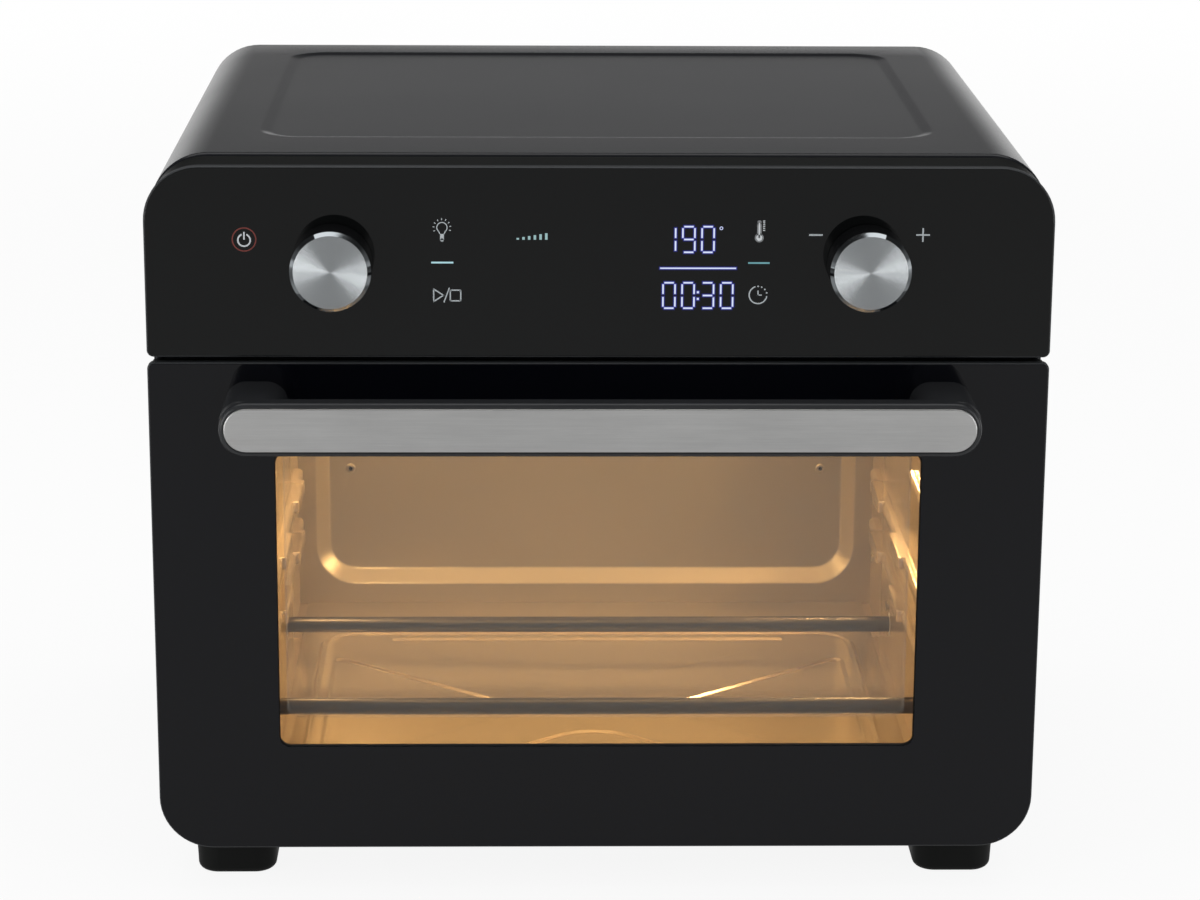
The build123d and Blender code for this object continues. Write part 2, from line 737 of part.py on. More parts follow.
def power_board():
    low = cavity_top + sheet + power_board_lift
    width, length = power_board_size
    left, front = power_board_from_side - glass_width / 2, power_board_front
    top = low + board_thickness
    board = block((left, left + width), (front, front + length), (low, top))
    for x in (left + 8, left + width - 8):
        for y in (front + 8, front + length - 8):
            board += rod_z(3, x, y, (low - power_board_lift, low))
    board += block((left + 8, left + 34), (front + 12, front + 44), (top, top + 24))
    board += block((left + 44, left + 64), (front + 12, front + 28), (top, top + 16))
    for x in (left + 36, left + 54):
        board += rod_z(6, x, front + 64, (top, top + 20))
    return board


def terminal_block():
    low = body_underside + sheet
    width, depth, height = terminal_size
    y = back_cover_front - terminal_from_back
    body = Pos(gland_x, y, low + height / 2) * Box(width, depth, height)
    for x in (-10, 0, 10):
        body -= rod_z(2.2, gland_x + x, y, (low + height - 5, low + height + 1))
    return body


def cord_gland():
    """Round bush held in the back cover by a groove, with the cord's bore."""
    front = gland_back - gland_length
    bush = rod_y(gland_flange_radius, gland_x, (body_back, gland_back), gland_z)
    bush += rod_y(gland_radius, gland_x, (front, gland_back), gland_z)
    bush += rod_y(gland_lock_radius, gland_x, (front, back_cover_front), gland_z)
    return bush - rod_y(cord_radius, gland_x, (front - 1, gland_back + 1), gland_z)


def door_glass():
    plate = front_piece(outline(glass_width, door_low, door_high, large_radius, small_radius),
                        (0, glass_thickness))
    for x, z in handle_screw_places:
        plate -= rod_y(screw_radius + 1, x, (-1, glass_thickness + 1), z)
    return chamfer(plate.faces().sort_by(Axis.Y)[0].outer_wire().edges(), glass_chamfer)


def door_mask():
    face = outline(glass_width - 2 * glass_chamfer, door_low + glass_chamfer, door_high - glass_chamfer,
                   large_radius - glass_chamfer, small_radius - glass_chamfer)
    face -= outline(window_width, window_low, window_high, window_radius, window_radius)
    mask = front_piece(face, (glass_thickness, print_back))
    for x, z in handle_screw_places:
        mask -= rod_y(screw_radius + 1, x, (0, print_back + 1), z)
    return mask


def door_frame():
    """Black frame behind the print, with hinge bosses and the notches for the brackets."""
    face = outline(glass_width - 2 * door_inset, door_low + door_inset, door_high - door_inset,
                   large_radius - door_inset, 1.5)
    face -= outline(2 * inset_half + 5, inset_low - 5, inset_high + 2, 6, 6)
    ring = front_piece(face, (print_back, door_frame_back))
    for x, z in handle_screw_places:
        ring += block((x - screw_pad, x + screw_pad), (print_back, door_frame_back),
                      (z - screw_pad, inset_high + 3))
    for x in (-hinge_x, hinge_x):
        boss = block((x - boss_width / 2, x + boss_width / 2), (print_back, door_frame_back),
                     (door_low + 0.4, door_low + 12))
        ring += fillet(boss.edges().filter_by(Axis.X).group_by(Axis.Z)[0].sort_by(Axis.Y)[-1], 3)
        ring -= block((x - notch_width / 2, x + notch_width / 2), (print_back, door_frame_back + 1),
                      (door_low - 1, hinge_z + eye_radius + 1.2))
        ring -= rod_x(pin_radius + running_clearance, (x - pin_length / 2, x + pin_length / 2),
                      hinge_y, hinge_z)
    for x, z in handle_screw_places:
        ring -= rod_y(screw_radius + running_clearance, x, (0, door_frame_back + 1), z)
        ring -= rod_y(screw_head_radius + 0.2, x, (door_frame_back - screw_head_depth,
                                                   door_frame_back + 1), z)
    return ring


def inner_frame():
    """Steel tray that carries the inner pane and reaches into the oven's mouth."""
    flange = outline(flange_width, flange_low, flange_high, 8, 8)
    outer = outline(2 * inset_half, inset_low, inset_high, tray_radius, tray_radius)
    inner = pane_shape(0)
    ledge = outline(2 * (inset_half - sheet - inner_ledge), inset_low + sheet + inner_ledge,
                    inset_high - sheet - inner_ledge, 4, 4)
    tray = front_piece(flange - inner, (door_frame_back, flange_back))
    tray += front_piece(outer - inner, (flange_back, inset_depth))
    tray += front_piece(outer - ledge, (inset_depth - sheet, inset_depth))
    return tray


def pane_shape(gap):
    """Outline of what sits inside the inner frame's tray, at a gap from its walls."""
    inset = sheet + gap
    radius = tray_radius - inset
    return outline(2 * (inset_half - inset), inset_low + inset, inset_high - inset, radius, radius)


def inner_glass():
    back = inset_depth - sheet
    return front_piece(pane_shape(0.3), (back - inner_glass_thickness, back))


def glass_retainer():
    back = inset_depth - sheet - inner_glass_thickness
    inner = outline(2 * (inset_half - sheet - inner_ledge), inset_low + sheet + inner_ledge,
                    inset_high - sheet - inner_ledge, 4, 4)
    return front_piece(pane_shape(0) - inner, (back - retainer_depth, back))


def door_handle():
    """Black bar with round ends and two posts, with a pocket for the steel plate."""
    face = Pos(0, handle_z) * SlotOverall(handle_length, handle_height)
    bar = front_piece(face, (-handle_front, -handle_front + handle_thickness))
    bar = fillet(bar.edges().group_by(Axis.Y)[0], handle_edge)
    for side in (-1, 1):
        x = side * (handle_length / 2 - post_width / 2)
        post = Pos(x, handle_z) * RectangleRounded(post_width, handle_height, post_radius)
        bar += front_piece(post, (-handle_front + handle_thickness / 2, 0))
        sections = []
        for part in (0, 0.12, 0.35, 0.65, 1):
            spread = post_flare * (1 - math.sqrt(1 - (1 - part) ** 2))
            face = Pos(x - side * spread / 2, handle_z) * RectangleRounded(
                post_width + spread, handle_height, post_radius)
            rear = -handle_front + handle_thickness - 0.2 + part * post_flare
            sections.append(Plane(origin=(0, rear, 0), x_dir=(1, 0, 0), z_dir=(0, -1, 0)) * face)
        bar += loft(sections, ruled=True)
    pocket = Pos(0, handle_z) * SlotOverall(plate_length + 0.4, plate_height + 0.4)
    bar -= front_piece(pocket, (-handle_front - 1, -handle_front + plate_thickness - plate_proud))
    for x, z in handle_screw_places:
        bar -= rod_y(screw_radius + running_clearance, x, (-14, 1), z)
    return bar


def handle_plate():
    face = Pos(0, handle_z) * SlotOverall(plate_length, plate_height)
    front = -handle_front - plate_proud
    plate = front_piece(face, (front, front + plate_thickness))
    return chamfer(plate.edges().group_by(Axis.Y)[0], 0.4)


def handle_screws():
    solids = []
    for x, z in handle_screw_places:
        seat = door_frame_back - screw_head_depth
        screw = rod_y(screw_radius, x, (-13, seat), z)
        solids.append(screw + rod_y(screw_head_radius, x, (seat, door_frame_back - 0.2), z))
    return solids


def hinge_pin(side):
    x = side * hinge_x
    return rod_x(pin_radius, (x - pin_length / 2, x + pin_length / 2), hinge_y, hinge_z)


def hinge_bracket(side):
    """Plate with the pin's eye, on a foot against the front frame."""
    x = side * hinge_x
    reach = frame_front - hinge_y
    arm = rod_x(eye_radius, (x - bracket_thickness / 2, x + bracket_thickness / 2), hinge_y, hinge_z)
    arm += block((x - bracket_thickness / 2, x + bracket_thickness / 2), (hinge_y, hinge_y + reach),
                 (hinge_z - 1.2, hinge_z + eye_radius))
    foot = block((x - 7, x + 7), (frame_front - bracket_foot_thickness, frame_front),
                 (hinge_z - 0.5, cavity_bottom - 1.5))
    arm += foot
    return arm - rod_x(pin_radius + running_clearance, (x - 9, x + 9), hinge_y, hinge_z)


def door_seal():
    low, high = cavity_bottom - 2.5, mouth_high + 0.5
    width = cavity_width + 3
    ring = outline(width + 2 * seal_width, low - seal_width, high + seal_top_width, 9, 9)
    ring -= outline(width, low, high, 5, 5)
    return front_piece(ring, (flange_back + seal_gap, frame_front))


def door_switch():
    x, z = switch_x, switch_z
    body = block((x - 10, x + 10), (frame_back, frame_back + 10), (z - 4, z + 6))
    return body + rod_y(switch_pin_radius, x, (flange_back + seal_gap, frame_back), z)


def feet():
    solids = []
    for x in (-foot_x, foot_x):
        for y in foot_centres:
            top = RectangleRounded(foot_size, foot_size, foot_radius)
            foot = extrude(Pos(x, y, body_underside) * top, -body_underside, taper=foot_taper)
            foot = fillet(foot.edges().group_by(Axis.Z)[0], foot_edge)
            foot -= rod_z(foot_bore, x, y, (-1, body_underside - 6))
            foot -= rod_z(thread_radius + 0.1, x, y, (0, body_underside + 1))
            solids.append(foot)
    return solids


def base_screws():
    solids = []
    for x in (-foot_x, foot_x):
        for y in foot_centres:
            low = body_underside - 6
            screw = rod_z(thread_radius, x, y, (low, body_underside + 5))
            solids.append(screw + rod_z(head_radius, x, y, (low - 2.4, low)))
    return solids


def cover_screws():
    """Three screws down each side that hold the cover to the base plate's upstand."""
    solids = []
    half = body_width / 2
    for y in cover_screw_places:
        z = (cover_bottom + base_wall_top) / 2
        screw = rod_x(head_radius, (half, half + head_height), y, z)
        screw = fillet(screw.edges().group_by(Axis.X)[-1], 0.7)
        solids += [screw, other_side(screw)]
    return solids


def back_screws():
    solids = []
    for x, z in back_screw_places:
        head = rod_y(head_radius, x, (body_back, body_back + 1.8), z)
        head = fillet(head.edges().group_by(Axis.Y)[-1], 0.9)
        solids.append(head + rod_y(thread_radius, x, (body_back - 6, body_back + 0.5), z))
    return solids


def write_body():
    save("outer_cover", outer_cover())
    save("base_plate", base_plate())
    save("back_cover", back_cover())
    save("front_frame", front_frame())
    save("cavity_right_wall", *side_wall(True))
    save("cavity_left_wall", *[other_side(solid) for solid in side_wall(False)])
    save("cavity_back_wall", cavity_back_wall())
    save("cavity_ceiling", cavity_ceiling())
    save("cavity_floor", cavity_floor())
    save("cavity_screws", *cavity_screws())
    save("crumb_tray", crumb_tray())
    save("feet", *feet())
    save("base_screws", *base_screws())
    save("cover_screws", *cover_screws())
    save("back_screws", *back_screws())
    save("cord_gland", cord_gland())
    save("terminal_block", terminal_block())
    save("door_seal", door_seal())
    save("door_switch", door_switch())
    save("left_hinge_bracket", hinge_bracket(-1))
    save("right_hinge_bracket", hinge_bracket(1))


def write_heat():
    for name, y, z in (("lower_front", heater_front, heater_low), ("lower_rear", heater_back, heater_low),
                       ("upper_front", heater_front, heater_high),
                       ("upper_rear", heater_back, heater_high)):
        save(f"{name}_heater", heater(y, z))
    save("heater_insulators", *heater_insulators())
    save("lamp_housing", lamp_housing())
    save("lamp_bulb", lamp_bulb())
    save("lamp_lens", lamp_lens())
    save("temperature_probe", temperature_probe())
    save("thermal_cutout", thermal_cutout())
    save("fan_chamber", fan_chamber())
    save("fan_guard", fan_guard())
    save("motor_bracket", motor_bracket())
    save("fan_motor", fan_motor())
    save("motor_shaft", motor_shaft())
    save("hot_air_fan", hot_air_fan())
    save("cooling_fan", cooling_fan())


def write_controls():
    save("control_glass", control_glass())
    save("control_housing", control_housing())
    save("control_board", control_board())
    save("display_module", display_module())
    save("power_board", power_board())
    for side, x in (("left", -knob_x), ("right", knob_x)):
        save(f"{side}_encoder", encoder(x))
        save(f"{side}_knob", knob_body(x))
        save(f"{side}_knob_cap", knob_cap(x))


def write_door():
    save("door_glass", door_glass())
    save("door_mask", door_mask())
    save("door_frame", door_frame())
    save("inner_frame", inner_frame())
    save("inner_glass", inner_glass())
    save("glass_retainer", glass_retainer())
    save("door_handle", door_handle())
    save("handle_plate", handle_plate())
    save("handle_screws", *handle_screws())
    save("left_hinge_pin", hinge_pin(-1))
    save("right_hinge_pin", hinge_pin(1))


write_body()
write_heat()
write_controls()
write_door()
print("frame shift", frame_shift)
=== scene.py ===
import json
import math

import bmesh
import bpy
from mathutils import Matrix, Vector

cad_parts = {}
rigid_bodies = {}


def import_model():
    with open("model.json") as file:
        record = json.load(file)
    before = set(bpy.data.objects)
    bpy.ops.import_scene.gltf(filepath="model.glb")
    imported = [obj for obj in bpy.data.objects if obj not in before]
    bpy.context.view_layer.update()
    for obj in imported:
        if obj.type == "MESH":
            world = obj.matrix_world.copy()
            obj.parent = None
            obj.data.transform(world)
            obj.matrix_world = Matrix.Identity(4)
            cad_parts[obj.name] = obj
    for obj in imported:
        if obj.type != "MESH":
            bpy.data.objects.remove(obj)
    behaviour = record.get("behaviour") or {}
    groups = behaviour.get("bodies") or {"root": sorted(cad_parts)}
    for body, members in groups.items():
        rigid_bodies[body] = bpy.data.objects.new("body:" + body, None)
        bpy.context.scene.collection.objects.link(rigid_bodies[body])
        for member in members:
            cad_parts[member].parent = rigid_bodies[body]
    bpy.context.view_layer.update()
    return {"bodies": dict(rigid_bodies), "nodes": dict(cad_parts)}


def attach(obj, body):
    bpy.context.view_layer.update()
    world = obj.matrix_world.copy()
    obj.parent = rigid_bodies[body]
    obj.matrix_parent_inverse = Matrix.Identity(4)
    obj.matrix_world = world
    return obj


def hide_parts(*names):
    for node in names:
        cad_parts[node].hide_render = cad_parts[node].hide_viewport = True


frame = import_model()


# Outer cover: one sheet of steel folded over the top and down both sides, powder coated black,
# with a sunken panel pressed into its top, a rolled front edge and a row of vents in each side.
# It is screwed to the base plate along its lower edges.

class Signal:
    """A socket of a shader. Arithmetic on it adds Math nodes."""

    def __init__(self, shader, socket):
        self.shader, self.socket = shader, socket

    def of(self, name):
        """Another output of the same node, by its name or its number."""
        return Signal(self.shader, self.socket.node.outputs[name])

    def math(self, operation, *values):
        return self.shader.node("Math", {"operation": operation}, dict(enumerate(values)))

    def __add__(self, other):
        return self.math("ADD", self, other)

    def __radd__(self, other):
        return self.math("ADD", other, self)

    def __sub__(self, other):
        return self.math("SUBTRACT", self, other)

    def __rsub__(self, other):
        return self.math("SUBTRACT", other, self)

    def __mul__(self, other):
        return self.math("MULTIPLY", self, other)

    def __rmul__(self, other):
        return self.math("MULTIPLY", other, self)

    def __truediv__(self, other):
        return self.math("DIVIDE", self, other)

    def __pow__(self, other):
        return self.math("POWER", self, other)

    def __lt__(self, other):
        return self.math("LESS_THAN", self, other)

    def __gt__(self, other):
        return self.math("GREATER_THAN", self, other)


class Shader:
    """A node tree being written, for a material or for the world."""

    def __init__(self, owner):
        owner.use_nodes = True
        self.owner, self.tree = owner, owner.node_tree
        self.tree.nodes.clear()

    def node(self, kind, settings=None, inputs=None):
        node = self.tree.nodes.new("ShaderNode" + kind)
        for key, value in (settings or {}).items():
            setattr(node, key, value)
        for key, value in (inputs or {}).items():
            socket = node.inputs[key]
            if isinstance(value, Signal):
                self.tree.links.new(value.socket, socket)
            elif socket.type == "RGBA" and len(value) == 3:
                socket.default_value = (*value, 1)
            else:
                socket.default_value = value
        return Signal(self, node.outputs[0]) if node.outputs else node

    def place(self):
        return self.node("TexCoord").of("Object")

    def axes(self):
        split = self.node("SeparateXYZ", None, {0: self.place()})
        return split.of("X"), split.of("Y"), split.of("Z")

    def noise(self, scale, detail=3, stretch=(1, 1, 1), roughness=0.5):
        place = self.node("Mapping", None, {"Vector": self.place(), "Scale": stretch})
        return self.node("TexNoise", None, {"Vector": place, "Scale": scale, "Detail": detail,
                                            "Roughness": roughness})

    def ramp(self, value, start, end):
        """0 at start, 1 at end, and smooth between them."""
        return self.node("MapRange", {"interpolation_type": "SMOOTHSTEP"}, {
            "Value": value, "From Min": start, "From Max": end, "To Min": 0.0, "To Max": 1.0})

    def between(self, amount, low, high):
        """A value that runs from low to high as amount runs from 0 to 1."""
        return self.node("MapRange", None, {"Value": amount, "To Min": low, "To Max": high})

    def blend(self, amount, first, second):
        """A colour mixed from two."""
        return self.node("Mix", {"data_type": "RGBA"}, {0: amount, 6: first, 7: second}).of(2)

    def bump(self, height, strength, distance, corner=0.0):
        """Relief from a height, over edges that are rounded by a corner radius where one is given."""
        inputs = {"Height": height, "Strength": strength, "Distance": distance}
        if corner:
            inputs["Normal"] = self.node("Bevel", {"samples": 6}, {"Radius": corner})
        return self.node("Bump", None, inputs)

    def outline(self, half_width, low, high, radius):
        """Distance outside a rectangle with round corners, in X and Z; negative inside it."""
        x, y, z = self.axes()
        middle = (low + high) / 2
        across = x.math("MAXIMUM", x.math("ABSOLUTE", x) - (half_width - radius), 0.0)
        up = z.math("MAXIMUM", z.math("ABSOLUTE", z - middle) - ((high - low) / 2 - radius), 0.0)
        return x.math("SQRT", across * across + up * up) - radius

    def surface(self, **sockets):
        inputs = {name.replace("_", " "): value for name, value in sockets.items()}
        return self.finish(self.node("BsdfPrincipled", None, inputs))

    def finish(self, shader):
        self.node("OutputMaterial", None, {"Surface": shader})
        return self.owner


def material(name):
    return Shader(bpy.data.materials.new(name))


def dress(finish, *nodes):
    """Give CAD nodes a finish in place of the plain one they come with."""
    for name in nodes:
        slots = frame["nodes"][name].data.materials
        slots.clear()
        slots.append(finish)


def powder_coat():
    coat = material("powder_coat")
    peel = coat.noise(160, 1)
    cloud = coat.noise(14, 3)
    return coat.surface(
        Base_Color=coat.blend(cloud, (0.009, 0.0098, 0.0118), (0.0125, 0.0135, 0.0158)),
        Roughness=coat.between(cloud, 0.21, 0.26),
        Normal=coat.bump(peel, 0.02, 0.0001),
        IOR=1.37)


def mm(*values):
    return tuple(value * 0.001 for value in values)


def row_y(depth):
    """Depth in millimetres behind the front glass, as Y in metres."""
    return (depth - 145.85) * 0.001


def round_face(mesh, corners, *radii):
    """A flat face with round corners. One radius serves them all."""
    others = set(mesh.faces)
    points = [mesh.verts.new(corner) for corner in corners]
    mesh.faces.new(points)
    for index, point in enumerate(points):
        bmesh.ops.bevel(mesh, geom=[point], offset=radii[index % len(radii)], affect="VERTICES",
                        segments=12, profile=0.5, material=-1)
    return next(face for face in mesh.faces if face not in others)


def press(mesh, face, steps):
    """Draw the sheet at a face in steps, each so far inwards and so far along its normal."""
    for inwards, height in steps:
        bmesh.ops.inset_region(mesh, faces=[face], thickness=inwards * 0.001, depth=height * 0.001,
                               use_boundary=True, use_even_offset=True)


def fill(mesh, edges, normal):
    """Close the flat field between loops of edges."""
    bmesh.ops.triangle_fill(mesh, use_beauty=True, edges=edges, normal=normal)


def piece(name, mesh, finish, body, slot, *nodes):
    """Make a mesh a piece on a body, with its finish, in place of CAD nodes where it has any. The slot is
    not used.
    """
    data = bpy.data.meshes.new(name)
    mesh.to_mesh(data)
    mesh.free()
    data.materials.append(finish)
    made = bpy.data.objects.new(name, data)
    bpy.context.scene.collection.objects.link(made)
    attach(made, body)
    if nodes:
        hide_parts(*nodes)
    return made


def sheet_metal(made, thickness=0.8):
    """Give a surface the thickness of its sheet, behind it, and soft pressed edges."""
    made.data.shade_smooth()
    made.data.set_sharp_from_angle(angle=math.radians(50))
    wall = made.modifiers.new("thickness", "SOLIDIFY")
    wall.thickness, wall.offset, wall.use_even_offset = thickness * 0.001, -1.0, True
    made.modifiers.new("flats", "WEIGHTED_NORMAL").keep_sharp = True


def cut(mesh, faces, axis, value):
    """Cut those of the faces through which a plane across an axis passes."""
    faces = [face for face in faces
             if min(v.co[axis] for v in face.verts) < value < max(v.co[axis] for v in face.verts)]
    geom = dict.fromkeys(item for face in faces for item in (*face.verts, *face.edges, face))
    normal = [float(index == axis) for index in range(3)]
    bmesh.ops.bisect_plane(mesh, geom=list(geom), dist=1e-7, plane_no=normal,
                           plane_co=[value * part for part in normal])


def cut_vents(cover, flat_half):
    """Nine upright slots in each side. The flat of the top ends at flat_half."""
    count, middle, pitch, width = 9, row_y(255), 0.009, 0.003
    low, high = mm(276, 304)

    def flank(side):
        return [face for face in cover.faces if side * face.calc_center_median().x > flat_half]

    def place(face):
        """Where a face lies along the row, counted in slots from the middle one."""
        return (face.calc_center_median().y - middle) / pitch

    for side in (-1, 1):
        for slot in range(count):
            for edge in (-width / 2, width / 2):
                cut(cover, flank(side), 1, middle + (slot - count // 2) * pitch + edge)
        for z in (low, high):
            cut(cover, [face for face in flank(side) if abs(place(face)) < count / 2], 2, z)
    slots = [face for face in flank(-1) + flank(1)
             if low < face.calc_center_median().z < high and abs(place(face)) < count / 2
             and abs(place(face) - round(place(face))) * pitch < width / 2]
    bmesh.ops.delete(cover, geom=slots, context="FACES")
    bmesh.ops.delete(cover, geom=[edge for edge in cover.edges if not edge.link_faces], context="EDGES")


def folded_cover():
    half, top, radius = 198.5, 340.8, 26.0
    front, back, bottom = 14.0, 326.2, 47.0
    lip_width, lip_radius = mm(3.8, 2.2)
    cover = bmesh.new()
    size = Matrix.Diagonal((*mm(2 * half, back - front, 2 * (top - bottom)), 1))
    bmesh.ops.create_cube(cover, size=1, matrix=Matrix.Translation(
        (0, row_y((front + back) / 2), bottom * 0.001)) @ size)
    crest = [edge for edge in cover.edges if all(v.co.z > 0.3 and abs(v.co.x) > 0.19 for v in edge.verts)
             and abs(edge.verts[0].co.y - edge.verts[1].co.y) > 0.1]
    bmesh.ops.bevel(cover, geom=crest, offset=radius * 0.001, affect="EDGES", segments=16, profile=0.5,
                    material=-1)
    bmesh.ops.bisect_plane(cover, geom=cover.verts[:] + cover.edges[:] + cover.faces[:], dist=1e-7,
                           plane_co=(0, 0, bottom * 0.001), plane_no=(0, 0, -1), clear_outer=True)
    ends = [face for face in cover.faces if abs(face.normal.y) > 0.9]
    nose = next(face for face in ends if face.normal.y < 0)
    tail = next(face for face in ends if face.normal.y > 0)
    lip = bmesh.ops.inset_region(cover, faces=[nose], thickness=lip_width, use_boundary=False,
                                 use_even_offset=True)["faces"]
    rim = dict.fromkeys(edge for face in lip for edge in face.edges if len(edge.link_faces) == 2
                        and any(abs(other.normal.y) < 0.5 for other in edge.link_faces))
    bmesh.ops.delete(cover, geom=[nose, tail], context="FACES_ONLY")
    bmesh.ops.bevel(cover, geom=[edge for edge in rim if edge.is_valid], offset=lip_radius,
                    affect="EDGES", segments=5, profile=0.5, material=-1)
    cut_vents(cover, (half - radius - 0.4) * 0.001)
    lid = max((face for face in cover.faces if face.normal.z > 0.99), key=lambda face: face.calc_area())
    rim = lid.edges[:]
    bmesh.ops.delete(cover, geom=[lid], context="FACES_ONLY")
    x, y_low, y_high, z = 0.154, row_y(54), row_y(303), top * 0.001
    panel = round_face(cover, ((-x, y_low, z), (x, y_low, z), (x, y_high, z), (-x, y_high, z)), 0.02)
    fill(cover, rim + panel.edges[:], (0, 0, 1))
    bend, slope = ((0.7, -0.03), (0.8, -0.11)), ((1.0, -0.19),)
    press(cover, panel, bend + slope * 3 + bend[::-1])
    return cover


cover_coat = powder_coat()
sheet_metal(piece("cover_shell", folded_cover(), cover_coat, "cabinet", "cover_paint", "outer_cover"))


# Back cover and front frame: flat steel sheets in the same coat. The back one has four rows of
# vents and the hole for the cord's gland. The front one has the oven's mouth.

dress(cover_coat, "back_cover", "front_frame")


# Base plate and brackets: the base is a steel pan with turned-up sides in the cover's coat, vented
# under the chamber. The brackets, the pane's retainer, the lamp's housing and the fan's dome are
# stamped from galvanised steel.

def galvanised():
    zinc = material("galvanised_steel")
    spangle = zinc.node("TexVoronoi", None, {"Vector": zinc.place(), "Scale": 110}).of("Color")
    shade = zinc.node("SeparateColor", None, {0: spangle})
    grain = zinc.noise(60, 3)
    return zinc.surface(
        Base_Color=zinc.blend(shade, (0.34, 0.35, 0.36), (0.5, 0.51, 0.52)),
        Metallic=1.0,
        Roughness=zinc.between(shade * 0.6 + grain * 0.4, 0.28, 0.5),
        Normal=zinc.bump(grain, 0.1, 0.0002))


zinc_steel = galvanised()
dress(cover_coat, "base_plate")
dress(zinc_steel, "motor_bracket", "glass_retainer", "left_hinge_bracket", "right_hinge_bracket",
      "lamp_housing", "fan_chamber")


# Feet, gland, switch, frames and other black mouldings: injection-moulded of glass-filled plastic,
# with a fine spark-eroded grain.

def grained_plastic():
    plastic = material("grained_plastic")
    grain = plastic.noise(1400, 2)
    wear = plastic.noise(30, 4)
    return plastic.surface(
        Base_Color=plastic.blend(wear, (0.0028, 0.0033, 0.003), (0.0046, 0.0052, 0.0048)),
        Roughness=plastic.between(wear, 0.4, 0.5),
        Normal=plastic.bump(grain, 0.2, 0.00006, 0.0008),
        IOR=1.3)


black_moulding = grained_plastic()
dress(black_moulding, "feet", "cord_gland", "terminal_block", "door_switch", "door_frame",
      "left_encoder", "right_encoder", "control_housing")


# Screws, rivets and pins: zinc-plated steel, with turned marks on their heads. The two heads in the
# chamber's back wall have the shade in their bore painted on as a dark spot.

rivet_x, rivet_z, bore_radius = 126.6, 114.4, 0.00105


def plated():
    plate = material("zinc_plating")
    x, y, z = plate.axes()
    across, up = x.math("ABSOLUTE", x) - rivet_x * 0.001, z - rivet_z * 0.001
    in_back_wall = y > 0.15
    # Painted shade: a near-black, non-metal spot where each head's bore lies in shadow.
    bore_shade = (x.math("SQRT", across * across + up * up) < bore_radius) * in_back_wall
    smear = plate.noise(400, 3, (1, 1, 6))
    return plate.surface(
        Base_Color=plate.blend(bore_shade, plate.blend(smear, (0.42, 0.4, 0.36), (0.66, 0.63, 0.56)),
                               (0.015, 0.012, 0.01)),
        Metallic=1.0 - bore_shade,
        Roughness=plate.between(smear, 0.2, 0.38),
        Normal=plate.bump(smear, 0.15, 0.00005))


plating = plated()
dress(plating, "cover_screws", "base_screws", "back_screws", "handle_screws", "cavity_screws",
      "left_hinge_pin", "right_hinge_pin", "motor_shaft")


# Chamber: aluminised steel sheet, half mirror, rolled with fine lines, with shelf rails welded to
# the side walls and a sunken panel drawn in the back wall.

upright_lines, crosswise_lines = (1, 1, 0.05), (0.05, 1, 1)


def aluminised(name, low, high, rough_low, rough_high, stretch):
    sheet = material(name)
    rolling = sheet.noise(420, 3, stretch)
    cloud = sheet.noise(9, 4)
    baked = sheet.ramp(sheet.axes()[1], row_y(225), row_y(275))
    return sheet.surface(
        Base_Color=sheet.blend(cloud, low, high),
        Metallic=0.72,
        Roughness=sheet.between(cloud * 0.6 + rolling * 0.4, rough_low, rough_high) + baked * 0.1,
        Normal=sheet.bump(rolling, 0.04, 0.00005, 0.0018))


wall_steel = aluminised("chamber_steel", (0.67, 0.6, 0.52), (0.75, 0.68, 0.6), 0.2, 0.28, upright_lines)
# The back wall is the same steel as the side walls; its darker colour is painted shade.
shaded_back_steel = aluminised("shaded_back_wall_steel", (0.445, 0.42, 0.38), (0.515, 0.49, 0.445), 0.2, 0.28,
                        upright_lines)
tray_steel = aluminised("tray_steel", (0.56, 0.5, 0.42), (0.64, 0.58, 0.5), 0.16, 0.22, crosswise_lines)
dress(wall_steel, "cavity_left_wall", "cavity_right_wall", "cavity_ceiling", "cavity_floor", "fan_guard",
      "inner_frame")


def hole(mesh, x, y, z, radius):
    """A loop of edges for a round hole in an upright sheet."""
    turn = Matrix.Rotation(math.radians(90), 4, "X")
    made = bmesh.ops.create_circle(mesh, cap_ends=False, segments=20, radius=radius * 0.001,
                                   matrix=Matrix.Translation((x * 0.001, row_y(y), z * 0.001)) @ turn)
    return list(dict.fromkeys(edge for vert in made["verts"] for edge in vert.link_edges))


def drawn_back():
    wall = bmesh.new()
    sheet, sunken, hole_radius = 302, 310, 1.6
    y, half, low, high = row_y(sheet), 0.1553, 0.04, 0.262
    for x, z in ((-half, low), (half, low), (half, high), (-half, high)):
        wall.verts.new((x, y, z))
    loop = wall.verts[:]
    edge = [wall.edges.new((loop[index - 1], loop[index])) for index in range(4)]
    x, low, high = 0.1452, 0.0514, 0.247
    field = round_face(wall, ((-x, y, low), (x, y, low), (x, y, high), (-x, y, high)), 0.0215)
    field.normal_update()
    if field.normal.y > 0:
        field.normal_flip()
    fill(wall, edge + field.edges[:], (0, -1, 0))
    bend, slope = ((0.3, -0.05), (0.5, -0.4)), ((5.8, -6.8),)
    press(wall, field, bend + slope + bend[::-1])
    holes = [edge for x in (-rivet_x, rivet_x) for edge in hole(wall, x, sunken, rivet_z, hole_radius)]
    rim = field.edges[:]
    bmesh.ops.delete(wall, geom=[field], context="FACES_ONLY")
    fill(wall, rim + holes, (0, -1, 0))
    return wall


sheet_metal(piece("drawn_back_wall", drawn_back(), shaded_back_steel, "cabinet", "chamber_steel",
                  "cavity_back_wall"))


